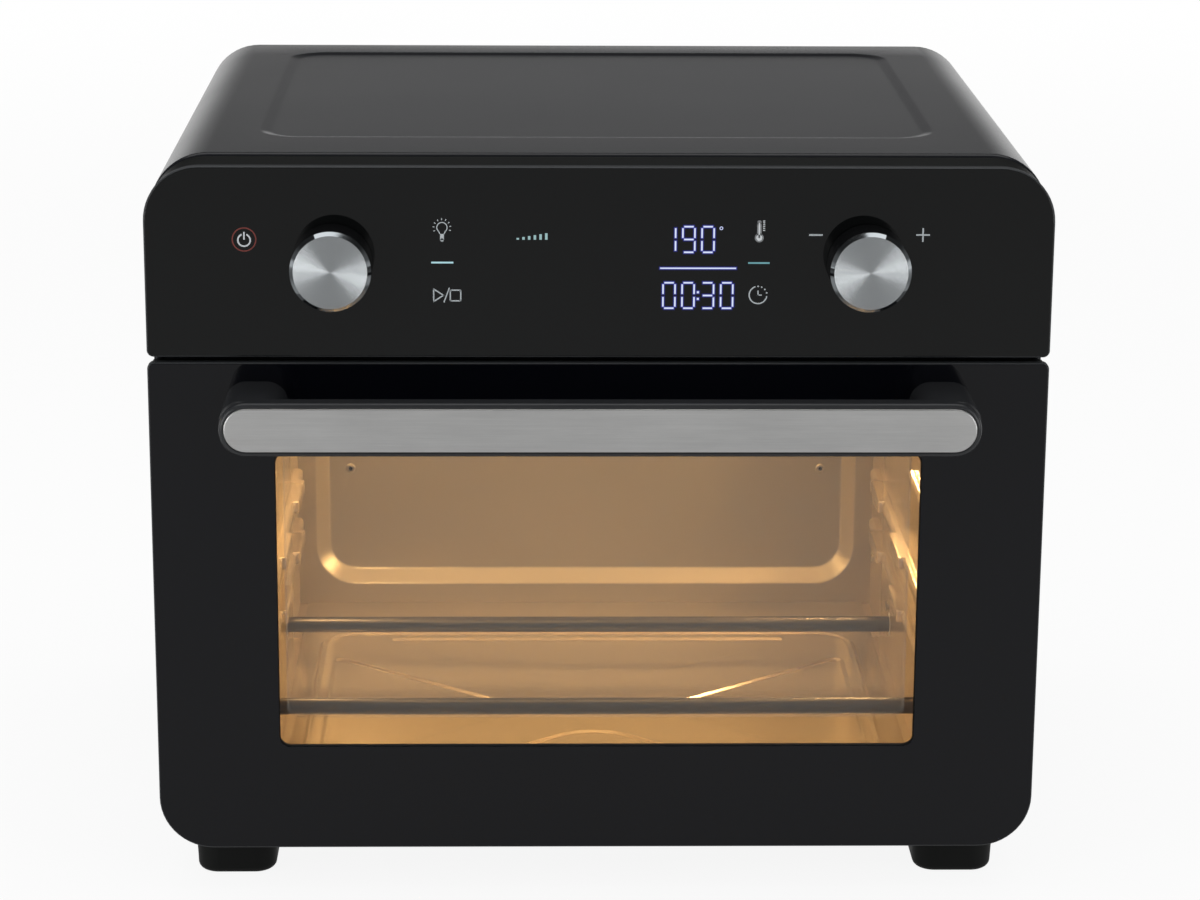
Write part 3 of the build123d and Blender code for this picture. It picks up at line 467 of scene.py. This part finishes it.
def pressed_tray():
    """A bead all round and four triangular fields, with a front edge turned up as a grip."""
    tray = bmesh.new()
    z, front, back, half, grip = 0.0412, row_y(18.6), row_y(301.9), 0.15, 0.0062
    outline = ((-half, front), (half, front), (half, back), (-half, back))
    plate = [tray.verts.new((x, y, z)) for x, y in outline]
    edge = [tray.edges.new((plate[index - 1], plate[index])) for index in range(4)]
    x, low, high = 0.1395, row_y(24), row_y(249.5)
    bead = round_face(tray, ((-x, low, z), (x, low, z), (x, high, z), (-x, high, z)), 0.02)
    fill(tray, edge + bead.edges[:], (0, 0, 1))
    climb = ((0.4, 0.06), (0.5, 0.38), (0.5, 0.38), (0.4, 0.06))
    press(tray, bead, climb + tuple((inwards, -height) for inwards, height in climb))
    rims = bead.edges[:]
    bmesh.ops.delete(tray, geom=[bead], context="FACES_ONLY")
    middle, fields = 130.5, []
    side_apex, side_base, side_reach, end_apex, spread = 29, 131.5, 82, 23.5, 1.25
    apex_radius, base_radius = mm(21, 11)
    for side, base in ((-1, 32), (1, 241)):
        apex = middle + side * end_apex
        reach = abs(base - apex) * spread
        for corners in (((side * side_apex, middle), (side * side_base, middle - side_reach),
                         (side * side_base, middle + side_reach)),
                        ((0, apex), (-reach, base), (reach, base))):
            corners = [(x * 0.001, row_y(y), z) for x, y in corners]
            fields.append(round_face(tray, corners, apex_radius, base_radius, base_radius))
            fields[-1].normal_update()
            if fields[-1].normal.z < 0:
                fields[-1].normal_flip()
            rims += fields[-1].edges[:]
    fill(tray, rims, (0, 0, 1))
    for field in fields:
        bend, slope = ((0.4, -0.05),), ((0.4, -0.42),)
        press(tray, field, bend + slope * 2 + bend)
    fold = [edge for edge in tray.edges if all(abs(v.co.y - front) < 1e-6 for v in edge.verts)]
    grown = bmesh.ops.extrude_edge_only(tray, edges=fold)["geom"]
    raised = [item for item in grown if isinstance(item, bmesh.types.BMVert)]
    bmesh.ops.translate(tray, verts=raised, vec=(0, 0, grip))
    bmesh.ops.bevel(tray, geom=fold, offset=0.0012, affect="EDGES", segments=4, profile=0.5, material=-1)
    return tray


sheet_metal(piece("pressed_crumb_tray", pressed_tray(), tray_steel, "cabinet", "tray_steel",
                  "crumb_tray"))


# Heaters: two pairs of steel-sheathed tubes, darkened by heat, which pass through white ceramic
# bushes in the side walls.

def heat_dark():
    sheath = material("heater_sheath")
    tint = sheath.noise(40, 4, (0.3, 1, 1))
    grit = sheath.noise(900, 3)
    return sheath.surface(
        Base_Color=sheath.blend(tint, (0.058, 0.055, 0.055), (0.13, 0.122, 0.12)),
        Metallic=0.85,
        Roughness=sheath.between(grit, 0.3, 0.42),
        Normal=sheath.bump(grit, 0.2, 0.00008))


dress(heat_dark(), "lower_front_heater", "lower_rear_heater", "upper_front_heater", "upper_rear_heater")


def ceramic():
    clay = material("ceramic")
    pores = clay.noise(700, 4)
    return clay.surface(
        Base_Color=clay.blend(pores, (0.7, 0.67, 0.6), (0.84, 0.82, 0.77)),
        Roughness=clay.between(pores, 0.6, 0.8),
        Normal=clay.bump(pores, 0.3, 0.0001))


dress(ceramic(), "heater_insulators")


# Lamp: a small bulb behind a frosted glass lens in the right wall. The weaker lights beside it stand
# for what the bright sheets throw back.

def frosted():
    lens = material("lamp_glass")
    ripple = lens.noise(180, 2)
    return lens.surface(
        Base_Color=lens.blend(ripple, (0.9, 0.75, 0.5), (1.0, 0.85, 0.6)),
        Roughness=lens.between(ripple, 0.25, 0.4),
        Emission_Color=lens.blend(ripple, (1.0, 0.62, 0.28), (1.0, 0.72, 0.4)),
        Emission_Strength=6.0,
        Normal=lens.bump(ripple, 0.2, 0.0002))


dress(frosted(), "lamp_lens", "lamp_bulb")


def chamber_light(name, shape, size, place, turn, energy):
    """A warm light of a size in metres and an energy in watts, turned in degrees from facing down."""
    data = bpy.data.lights.new(name, "AREA")
    data.shape, (data.size, data.size_y) = shape, size
    data.energy, data.color = energy, (1.0, 0.61, 0.235)
    light = bpy.data.objects.new(name, data)
    light.location, light.rotation_euler = place, [math.radians(angle) for angle in turn]
    bpy.context.scene.collection.objects.link(light)
    light.parent = frame["bodies"]["cabinet"]


chamber_light("lamp_light", "DISK", (0.04, 0.04), (0.153, 0.08915, 0.205), (0, 98, 28), 1.38)
chamber_light("front_glow", "RECTANGLE", (0.24, 0.06), (0, -0.06, 0.236), (22, 0, 0), 0.17)
chamber_light("rear_glow", "RECTANGLE", (0.26, 0.05), (0, 0.12, 0.236), (0, 0, 0), 0.06)
chamber_light("left_glow", "DISK", (0.05, 0.05), (-0.148, 0.04, 0.215), (0, -55, 0), 0.34)


# Probe, cut-out, fans and motor: turned and stamped metal in and above the chamber's ceiling. The
# motor turns both fans on one steel shaft.

def stamped(name, low, high, rough):
    metal = material(name)
    grain = metal.noise(300, 3, (1, 1, 0.1))
    return metal.surface(
        Base_Color=metal.blend(grain, low, high),
        Metallic=1.0,
        Roughness=metal.between(grain, rough, rough + 0.15),
        Normal=metal.bump(grain, 0.15, 0.00008))


dress(stamped("probe_steel", (0.45, 0.43, 0.4), (0.6, 0.58, 0.54), 0.2), "temperature_probe")
dress(stamped("stamped_aluminium", (0.6, 0.6, 0.6), (0.75, 0.75, 0.75), 0.3), "hot_air_fan",
      "cooling_fan", "thermal_cutout")
dress(stamped("motor_laminations", (0.2, 0.18, 0.16), (0.35, 0.33, 0.3), 0.4), "fan_motor")


# Boards: circuit boards with a green coat over their tracks, and the display, whose figures shine
# through a dark filter.

def circuit():
    board = material("circuit_board")
    tracks = board.node("TexBrick", {"offset": 0.3}, {
        "Vector": board.place(), "Scale": 120.0, "Color1": (0.01, 0.09, 0.035),
        "Color2": (0.015, 0.13, 0.05), "Mortar": (0.03, 0.2, 0.08)})
    dust = board.noise(80, 3)
    return board.surface(Base_Color=tracks, Roughness=board.between(dust, 0.3, 0.5))


dress(circuit(), "control_board", "power_board")


def dark_filter():
    filter_plate = material("display_filter")
    haze = filter_plate.noise(20, 2)
    return filter_plate.surface(
        Base_Color=filter_plate.blend(haze, (0.008, 0.008, 0.014), (0.012, 0.012, 0.02)),
        Roughness=filter_plate.between(haze, 0.15, 0.25))


dress(dark_filter(), "display_module")


# Control glass: a polished plate with a ground edge, printed black behind. Its edge is painted grey,
# partly its own colour and partly a painted highlight. It closes the housing of the controls at the front.

glass_index, edge_behind = 1.45, -0.1458


def black_glass(glass, haze, low, high):
    """The sockets of a glass that is printed black behind: polished in front, ground on its edge, whose grey
    is partly a painted highlight.
    """
    edge = glass.axes()[1] > edge_behind
    # The grey of the ground edge is partly its own colour and partly a painted highlight.
    return {"Base Color": glass.blend(edge, glass.blend(haze, low, high), (0.03, 0.033, 0.036)),
            "Roughness": glass.between(haze, 0.02, 0.05) + edge * 0.45,
            "Normal": glass.bump(haze, 0.02, 0.0001, 0.0006),
            "IOR": glass_index}


def panel_glass():
    glass = material("panel_glass")
    return glass.surface(**black_glass(glass, glass.noise(6, 3), (0.0012, 0.0015, 0.0016),
                                       (0.0022, 0.0026, 0.0027)))


dress(panel_glass(), "control_glass")


# Signs on the control glass: thin flat shapes on its front. The grey, white and red ones are printed.
# The teal dashes and bars and the white figures are lit, and the figures have a blue glow round them.

sign_y = -145.88


def lie(x, z, angle=0.0, layer=0):
    """Where a flat shape lies on the glass, turned from level."""
    turn = Matrix.Rotation(angle, 4, Vector((0, -1, 0))) @ Matrix.Rotation(math.radians(90), 4, "X")
    return Matrix.Translation(mm(x, sign_y - 0.006 * layer, z)) @ turn


def stroke(mesh, x, z, far_x, far_z, width, layer=0):
    length, angle = math.hypot(far_x - x, far_z - z), math.atan2(far_z - z, far_x - x)
    place = lie((x + far_x) / 2, (z + far_z) / 2, angle, layer)
    bmesh.ops.create_grid(mesh, x_segments=1, y_segments=1, size=0.5,
                          matrix=place @ Matrix.Diagonal((*mm(length, width, 1), 1)))


def dot(mesh, x, z, radius, layer=0):
    bmesh.ops.create_circle(mesh, cap_ends=True, segments=20, radius=radius * 0.001,
                            matrix=lie(x, z, 0.0, layer))


def arc(mesh, x, z, radius, width, start=0.0, end=360.0):
    """Part of a ring, from one angle to another, in degrees from level."""
    angle, full = math.radians(start), end - start == 360
    across = Vector((math.cos(angle), 0, math.sin(angle)))
    middle = Vector(mm(x, sign_y, z))
    ends = [mesh.verts.new(middle + across * (radius + side * width / 2) * 0.001) for side in (-1, 1)]
    line = mesh.edges.new(ends)
    bmesh.ops.spin(mesh, geom=ends + [line], cent=middle, axis=(0, -1, 0), dvec=(0, 0, 0),
                   angle=math.radians(end - start), steps=max(6, round((end - start) / 9)), use_merge=full,
                   use_duplicate=False)


def rays(mesh, x, z, inner, outer, width, angles):
    for angle in angles:
        across, up = math.cos(math.radians(angle)), math.sin(math.radians(angle))
        stroke(mesh, x + inner * across, z + inner * up, x + outer * across, z + outer * up, width)


def sign(name, mesh, finish, glow=0.0):
    """Turn all faces to the front, give them a glowing border where one is given, and make the piece."""
    if glow:
        lit = mesh.verts.layers.float.new("lit")
        cores = mesh.faces[:]
        bmesh.ops.inset_individual(mesh, faces=cores, thickness=glow * 0.001, use_even_offset=True)
        bright = {vert for face in cores for vert in face.verts}
        for vert in mesh.verts:
            vert[lit] = float(vert in bright)
    mesh.normal_update()
    bmesh.ops.reverse_faces(mesh, faces=[face for face in mesh.faces if face.normal.y > 0])
    piece(name, mesh, finish, "cabinet", "display")


def printed(name, low, high):
    paint = material(name)
    grain = paint.noise(900, 2)
    return paint.surface(Base_Color=paint.blend(grain, low, high), Roughness=paint.between(grain, 0.45, 0.6))


def lit_sign(name, low, high):
    light = material(name)
    cloud = light.noise(160, 2)
    colour = light.blend(cloud, low, high)
    return light.surface(Base_Color=(0, 0, 0), Emission_Color=colour, Emission_Strength=1.0,
                         Roughness=light.between(cloud, 0.4, 0.5))


def glowing_figures():
    light = material("glowing_figures")
    lit = light.node("Attribute", {"attribute_name": "lit"}).of("Fac")
    return light.surface(
        Base_Color=(0, 0, 0),
        Emission_Color=light.blend(lit ** 7.0, (0.045, 0.05, 0.5), (0.72, 0.8, 1.0)),
        Emission_Strength=1.0,
        Roughness=light.between(lit, 0.4, 0.5),
        Alpha=lit ** 1.9)


grey_print = printed("grey_print", (0.4, 0.44, 0.47), (0.5, 0.54, 0.56))

fine, bold = 0.42, 0.55

lamp_sign = bmesh.new()
lamp_x, bulb_z, neck_z, cap_z = -69.4, 310.5, 307.6, 304.9
arc(lamp_sign, lamp_x, bulb_z, 2.25, fine, -48, 228)
for side in (-1, 1):
    stroke(lamp_sign, lamp_x + side * 1.55, 308.9, lamp_x + side * 0.9, neck_z, fine)
stroke(lamp_sign, lamp_x, neck_z, lamp_x, cap_z, 1.7)
dot(lamp_sign, lamp_x, cap_z, 0.75)
rays(lamp_sign, lamp_x, bulb_z, 3.3, 4.1, 0.38, range(-20, 210, 28))
sign("lamp_sign", lamp_sign, grey_print)

start_sign = bmesh.new()
corners = ((-73.2, 277.3), (-73.2, 282.9), (-68.9, 280.1))
for index in range(3):
    (x, z), (far_x, far_z) = corners[index - 1], corners[index]
    stroke(start_sign, x, z, far_x, far_z, bold)
    dot(start_sign, x, z, 0.27)
stroke(start_sign, -68.7, 276.9, -66.3, 283.5, 0.5)
left, right, low, high, round_corner = -65.7, -61.5, 277.8, 282.2, 0.2
for z in (low - round_corner, high + round_corner):
    stroke(start_sign, left, z, right, z, bold)
for x in (left - round_corner, right + round_corner):
    stroke(start_sign, x, low, x, high, bold)
for x in (left, right):
    for z in (low, high):
        dot(start_sign, x, z, 0.4)
sign("start_sign", start_sign, grey_print)

power_x, power_z, power_line = -156.0, 304.7, 0.7
power_sign = bmesh.new()
arc(power_sign, power_x, power_z, 2.7, power_line, 112, 428)
stroke(power_sign, power_x, power_z + 0.2, power_x, power_z + 3.7, power_line)
sign("power_sign", power_sign, printed("white_print", (0.5, 0.53, 0.56), (0.62, 0.65, 0.68)))
power_ring = bmesh.new()
arc(power_ring, power_x, power_z + 0.3, 5.15, 0.58)
sign("power_ring", power_ring, printed("red_print", (0.15, 0.022, 0.016), (0.19, 0.03, 0.024)))

heat_x, well_z = 69.8, 306.1
heat_sign = bmesh.new()
dot(heat_sign, heat_x, well_z, 1.35, 1)
stroke(heat_sign, heat_x, well_z, heat_x, well_z + 6.7, 0.7, 1)
for tick in range(6):
    z = 309.4 + tick * 0.85
    stroke(heat_sign, heat_x + 1.6, z, heat_x + 2.5, z, 0.4)
sign("heat_sign", heat_sign, printed("pale_print", (0.55, 0.58, 0.6), (0.66, 0.69, 0.71)))
heat_tube = bmesh.new()
tube_top = well_z + 6.8
dot(heat_tube, heat_x, well_z, 2.0)
stroke(heat_tube, heat_x, well_z, heat_x, tube_top, 2.0)
dot(heat_tube, heat_x, tube_top, 1.0)
sign("heat_tube", heat_tube, printed("dark_print", (0.17, 0.18, 0.19), (0.22, 0.23, 0.24)))

clock_sign = bmesh.new()
clock_x, clock_z, clock_radius = 69.7, 280.4, 3.9
arc(clock_sign, clock_x, clock_z, clock_radius, bold, 108, 352)
for angle in (90, 66, 40, 14):
    across, up = math.cos(math.radians(angle)), math.sin(math.radians(angle))
    dot(clock_sign, clock_x + clock_radius * across, clock_z + clock_radius * up, 0.36)
stroke(clock_sign, clock_x, clock_z - 0.3, clock_x, clock_z + 2.0, bold)
stroke(clock_sign, clock_x - 0.25, clock_z - 0.05, clock_x + 1.6, clock_z - 0.05, bold)
sign("clock_sign", clock_sign, grey_print)

turn_signs = bmesh.new()
stroke(turn_signs, 91.7, 307.4, 97.7, 307.4, 0.8)
plus_x, plus_z, plus_line = 141.85, 307.5, 0.7
stroke(turn_signs, plus_x - 3.05, plus_z, plus_x + 3.05, plus_z, plus_line)
stroke(turn_signs, plus_x, plus_z - 3.1, plus_x, plus_z + 3.1, plus_line, 1)
sign("turn_signs", turn_signs, grey_print)

dash_z, dash_line = 294.8, 0.75
for name, left, right, light in (
        ("start_dash", -74.2, -64.5, lit_sign("pale_light", (0.36, 0.6, 0.66), (0.45, 0.72, 0.78))),
        ("heat_dash", 65.1, 74.6, lit_sign("teal_light", (0.1, 0.26, 0.29), (0.17, 0.4, 0.45)))):
    dash = bmesh.new()
    stroke(dash, left, dash_z, right, dash_z, dash_line)
    sign(name, dash, light)

levels = bmesh.new()
for bar in range(6):
    x = -36.2 + bar * 2.5
    stroke(levels, x, 305.1, x, 305.9 + bar * 0.42, 1.1)
sign("level_bars", levels, lit_sign("level_light", (0.26, 0.42, 0.43), (0.34, 0.52, 0.53)))

glow_width = 0.85


def figure(mesh, x, top, strokes):
    """One figure of seven strokes, named a to g clockwise from the top and the middle last."""
    wide, tall, end, line = 5.28, 5.73, 0.45, 0.5
    reach = glow_width - 0.2
    rows = {"a": top, "g": top - tall, "d": top - 2 * tall}
    columns = {"b": (x + wide, top), "c": (x + wide, top - tall), "f": (x, top), "e": (x, top - tall)}
    for name in strokes:
        layer = "abcdefg".index(name) % 4
        if name in rows:
            z = rows[name]
            stroke(mesh, x + end - reach, z, x + wide - end + reach, z, line + 2 * glow_width, layer)
        else:
            column, high = columns[name]
            stroke(mesh, column, high - end * 1.3 + reach, column, high - tall + end * 1.3 - reach,
                   line + 2 * glow_width, layer)


figures = bmesh.new()
heat_top, time_top = 311.04, 285.86
for x, top, strokes in ((27.77, heat_top, "bc"), (36.23, heat_top, "abcdfg"), (44.66, heat_top, "abcdef"),
                        (27.78, time_top, "abcdef"), (36.19, time_top, "abcdef"),
                        (44.77, time_top, "abcdg"), (53.24, time_top, "abcdef")):
    figure(figures, x, top, strokes)
rule_z, colon_x, colon_size = 292.4, 43.17, 0.7
stroke(figures, 25.6, rule_z, 60.6, rule_z, 0.4 + 2 * glow_width)
colon_half = colon_size / 2 + glow_width
for z in (281.6, 278.6):
    stroke(figures, colon_x - colon_half, z, colon_x + colon_half, z, 2 * colon_half, 1)
sign("lit_figures", figures, glowing_figures(), glow_width)

degree = bmesh.new()
arc(degree, 53.1, 310.35, 0.62, 0.36)
sign("degree_ring", degree, lit_sign("figure_light", (0.5, 0.56, 0.9), (0.62, 0.68, 0.95)))


# Knobs: gloss black bodies with a spun aluminium cap, whose edge is a plain cut. They are pushed onto
# the shafts of the encoders behind the glass.

def gloss_black(name, low, high):
    gloss = material(name)
    haze = gloss.noise(25, 3)
    return gloss.surface(
        Base_Color=gloss.blend(haze, low, high),
        Roughness=gloss.between(haze, 0.2, 0.28),
        Normal=gloss.bump(haze, 0.02, 0.0001, 0.0014),
        IOR=1.45)


dress(gloss_black("knob_black", (0.002, 0.0022, 0.0026), (0.0035, 0.0037, 0.004)),
      "left_knob", "right_knob")


def spun_aluminium():
    """Fine rings turned into the face; the edge outside them is a plain cut."""
    metal = material("spun_aluminium")
    knob_x, knob_z, face_radius = mm(117.5, 294.6, 16.1)
    broad_rings, fine_rings, relief, centre = 31000, 50300, 0.27, 0.0003
    x, y, z = metal.axes()
    across = x - x.math("SIGN", x) * knob_x
    up = z - knob_z
    radius = x.math("SQRT", across * across + up * up)
    face = radius < face_radius
    slope = radius.math("SINE", radius * broad_rings) + radius.math("SINE", radius * fine_rings)
    slope = slope * relief / (radius + centre)
    turned = metal.node("CombineXYZ", None, {"X": across * slope, "Y": -1.0, "Z": up * slope})
    turned = metal.node("VectorTransform", {"vector_type": "NORMAL", "convert_from": "OBJECT",
                                            "convert_to": "WORLD"}, {0: turned})
    plain = metal.node("NewGeometry").of("Normal")
    ground = metal.node("Mix", {"data_type": "VECTOR"}, {0: face, 4: plain, 5: turned}).of(1)
    stain = metal.noise(60, 3)
    shade = metal.blend(stain, (0.63, 0.665, 0.685), (0.7, 0.735, 0.755))
    return metal.surface(
        Base_Color=metal.blend(face, (0.4, 0.43, 0.45), shade),
        Metallic=1.0,
        Roughness=face * 0.14 + 0.05,
        Normal=ground)


dress(spun_aluminium(), "left_knob_cap", "right_knob_cap")


# Door: a glass plate with a black print behind it that leaves the window clear, in a moulded
# frame. A steel tray behind it carries the inner pane, and a silicone ring seals the mouth.

window_corner, pane_tint = 5, (0.985, 0.98, 0.975)


def clear(glass, haze, mirrored):
    """Thin clear glass: it lets light through with a slight tint and mirrors part of it."""
    mirror = glass.node("BsdfGlossy", None, {"Color": (1, 1, 1), "Roughness": 0.0})
    through = glass.node("BsdfTransparent", None, {"Color": pane_tint})
    share = glass.node("Fresnel", None, {"IOR": glass_index}) * mirrored
    return glass.node("MixShader", None, {0: share * (0.9 + haze * 0.2), 1: through, 2: mirror})


def door_pane():
    """Clear over the window alone; the rest is black, as the print makes it, and its ground edge is grey,
    partly a painted highlight.
    """
    glass = material("door_glass")
    haze = glass.noise(5, 3)
    black = glass.node("BsdfPrincipled", None, black_glass(
        glass, haze, (0.0011, 0.0013, 0.0024), (0.002, 0.0023, 0.0038)))
    outside = glass.outline(*mm(144.7, 69.1, 208.4, window_corner)) > 0.0
    window = clear(glass, haze, 0.5)
    return glass.finish(glass.node("MixShader", None, {0: outside, 1: window, 2: black}))


def inner_pane():
    """Clear, with a pale heat-reflecting coat that stops short of the edges."""
    glass = material("inner_glass")
    haze = glass.noise(5, 3)
    pane = clear(glass, haze, 0.3)
    edge = glass.outline(*mm(142.7, 75.2, 232, window_corner))
    coat = glass.node("BsdfPrincipled", None, {
        "Base Color": glass.blend(haze, (0.5, 0.56, 0.58), (0.6, 0.64, 0.66)),
        "Roughness": glass.between(haze, 0.3, 0.4)})
    rim = (edge > -0.0008) * 0.12
    share = (edge < 0.0) * (0.085 + rim)
    return glass.finish(glass.node("MixShader", None, {0: share, 1: pane, 2: coat}))


dress(door_pane(), "door_glass")
dress(inner_pane(), "inner_glass")


def print_black():
    ink = material("black_print")
    haze = ink.noise(40, 3)
    return ink.surface(
        Base_Color=ink.blend(haze, (0.0012, 0.0013, 0.0015), (0.0024, 0.0025, 0.003)),
        Roughness=ink.between(haze, 0.5, 0.6),
        Specular_IOR_Level=0.0)


dress(print_black(), "door_mask")


def silicone():
    rubber = material("silicone")
    bloom = rubber.noise(120, 4)
    return rubber.surface(
        Base_Color=rubber.blend(bloom, (0.02, 0.02, 0.02), (0.045, 0.044, 0.043)),
        Roughness=rubber.between(bloom, 0.5, 0.7),
        Normal=rubber.bump(bloom, 0.2, 0.0002))


dress(silicone(), "door_seal")


# Handle: a black bar on two posts, screwed on through the glass, with a brushed steel plate
# let into its front.

handle_black = gloss_black("handle_black", (0.019, 0.02, 0.022), (0.026, 0.027, 0.029))
dress(handle_black, "door_handle")


def brushed_plate():
    steel = material("handle_steel")
    brush = steel.noise(900, 5, (0.025, 1, 1), 0.75)
    broad = steel.noise(45, 4, (0.35, 1, 1), 0.65)
    return steel.surface(
        Base_Color=steel.blend(brush * 0.5 + broad * 0.5, (0.56, 0.56, 0.555), (0.96, 0.96, 0.95)),
        Metallic=1.0,
        Roughness=steel.between(brush, 0.28, 0.42),
        Normal=steel.bump(brush, 0.3, 0.00003, 0.0005))


dress(brushed_plate(), "handle_plate")


# Studio: a pale floor, a white surround, soft boxes above and at both sides, and the camera at
# the photograph's place.

scene = bpy.context.scene
scene.view_settings.view_transform = "Standard"


def floor_paint():
    paint = material("floor_paint")
    path = paint.node("LightPath")
    seen = path.math("MAXIMUM", path.of("Is Camera Ray"), path.of("Is Glossy Ray"))
    seen = seen.math("MAXIMUM", seen, path.of("Is Transmission Ray"))
    x, y, z = paint.axes()
    grain = paint.noise(3, 2)
    pale = paint.blend(grain, (0.85, 0.85, 0.85), (0.87, 0.87, 0.87))
    diffuse = paint.node("BsdfDiffuse", None, {"Color": pale})
    wide = x.math("ABSOLUTE", x)
    near = 0.36 - paint.ramp(wide, 0.5, 1.0) * 0.3
    aside = paint.ramp(wide, 0.42, 0.75) * paint.ramp(y, -0.4, -0.65)
    far = x.math("MAXIMUM", near, x.math("MAXIMUM", paint.ramp(y, -0.12, 0.25), aside))
    level = path.math("MAXIMUM", far, path.of("Is Camera Ray"))
    white = paint.node("Emission", None, {
        "Color": paint.blend(level, (0, 0, 0), (1, 1, 1)), "Strength": 1.0})
    afar = paint.ramp(x.math("SQRT", x * x + y * y), 0.9, 3.0)
    return paint.finish(paint.node("MixShader", None, {0: seen * (0.9 + afar * 0.1), 1: diffuse, 2: white}))


floor_mesh = bmesh.new()
bmesh.ops.create_grid(floor_mesh, x_segments=1, y_segments=1, size=6.0)
floor_data = bpy.data.meshes.new("floor")
floor_mesh.to_mesh(floor_data)
floor_mesh.free()
floor_data.materials.append(floor_paint())
floor = bpy.data.objects.new("floor", floor_data)
scene.collection.objects.link(floor)
floor.location.z = -0.0002

world = bpy.data.worlds.new("studio")
scene.world = world
sky = Shader(world)
path = sky.node("LightPath")
seen = path.math("MAXIMUM", path.of("Is Camera Ray"), path.of("Is Transmission Ray"))
direction = sky.node("TexCoord").of("Generated")
heading = sky.node("SeparateXYZ", None, {0: direction})
sideways = path.math("ABSOLUTE", heading.of("X"))
behind = sky.ramp(heading.of("Y"), -0.25, 0.2)
aside = sky.ramp(sideways, 0.45, 0.7) * sky.ramp(heading.of("Y"), -0.35, -0.55)
low = sky.ramp(heading.of("Z"), 0.16, 0.03)
dusk = sky.ramp(heading.of("Z"), 0.55, 0.22)
mirrored = behind.math("MAXIMUM", behind, aside) * low * 0.8 + dusk * 0.11 + 0.03
glossy = path.of("Is Glossy Ray")
unseen = 1.0 - seen.math("MAXIMUM", seen, glossy)
strength = seen.math("MAXIMUM", seen, glossy * mirrored) + unseen * 0.6
back = sky.node("Background", None, {"Color": (1, 1, 1), "Strength": strength})
sky.node("OutputWorld", None, {"Surface": back})


def soft_box(name, place, target, width, height, power):
    """A lit panel in metres and watts that faces a target."""
    light = bpy.data.lights.new(name, "AREA")
    light.shape, light.size, light.size_y, light.energy = "RECTANGLE", width, height, power
    box = bpy.data.objects.new(name, light)
    scene.collection.objects.link(box)
    box.location = place
    box.rotation_euler = (Vector(target) - Vector(place)).to_track_quat("-Z", "Y").to_euler()


soft_box("top_box", (0, 0.1, 1.5), (0, 0, 0.3), 1.7, 1.0, 8.5)
soft_box("left_box", (-1.3, -1.1, 0.5), (0, -0.1, 0.25), 0.7, 1.0, 7.0)
soft_box("right_box", (1.3, -1.1, 0.5), (0, -0.1, 0.25), 0.7, 1.0, 5.0)

pitch, yaw, roll = math.radians(15.328), math.radians(1.325), math.radians(-0.363)
ahead = Vector((math.sin(yaw) * math.cos(pitch), math.cos(yaw) * math.cos(pitch), -math.sin(pitch)))
level = Vector((math.cos(yaw), -math.sin(yaw), 0))
down = ahead.cross(level)
right = math.cos(roll) * level + math.sin(roll) * down
down = math.cos(roll) * down - math.sin(roll) * level
camera = bpy.data.objects.new("camera", bpy.data.cameras.new("camera"))
scene.collection.objects.link(camera)
camera.data.lens, camera.data.sensor_width = 103.93, 36.0
turn = Matrix((right, -down, -ahead)).transposed().to_4x4()
camera.matrix_world = Matrix.Translation((-0.03401, -1.63557, 0.61792)) @ turn
scene.camera = camera
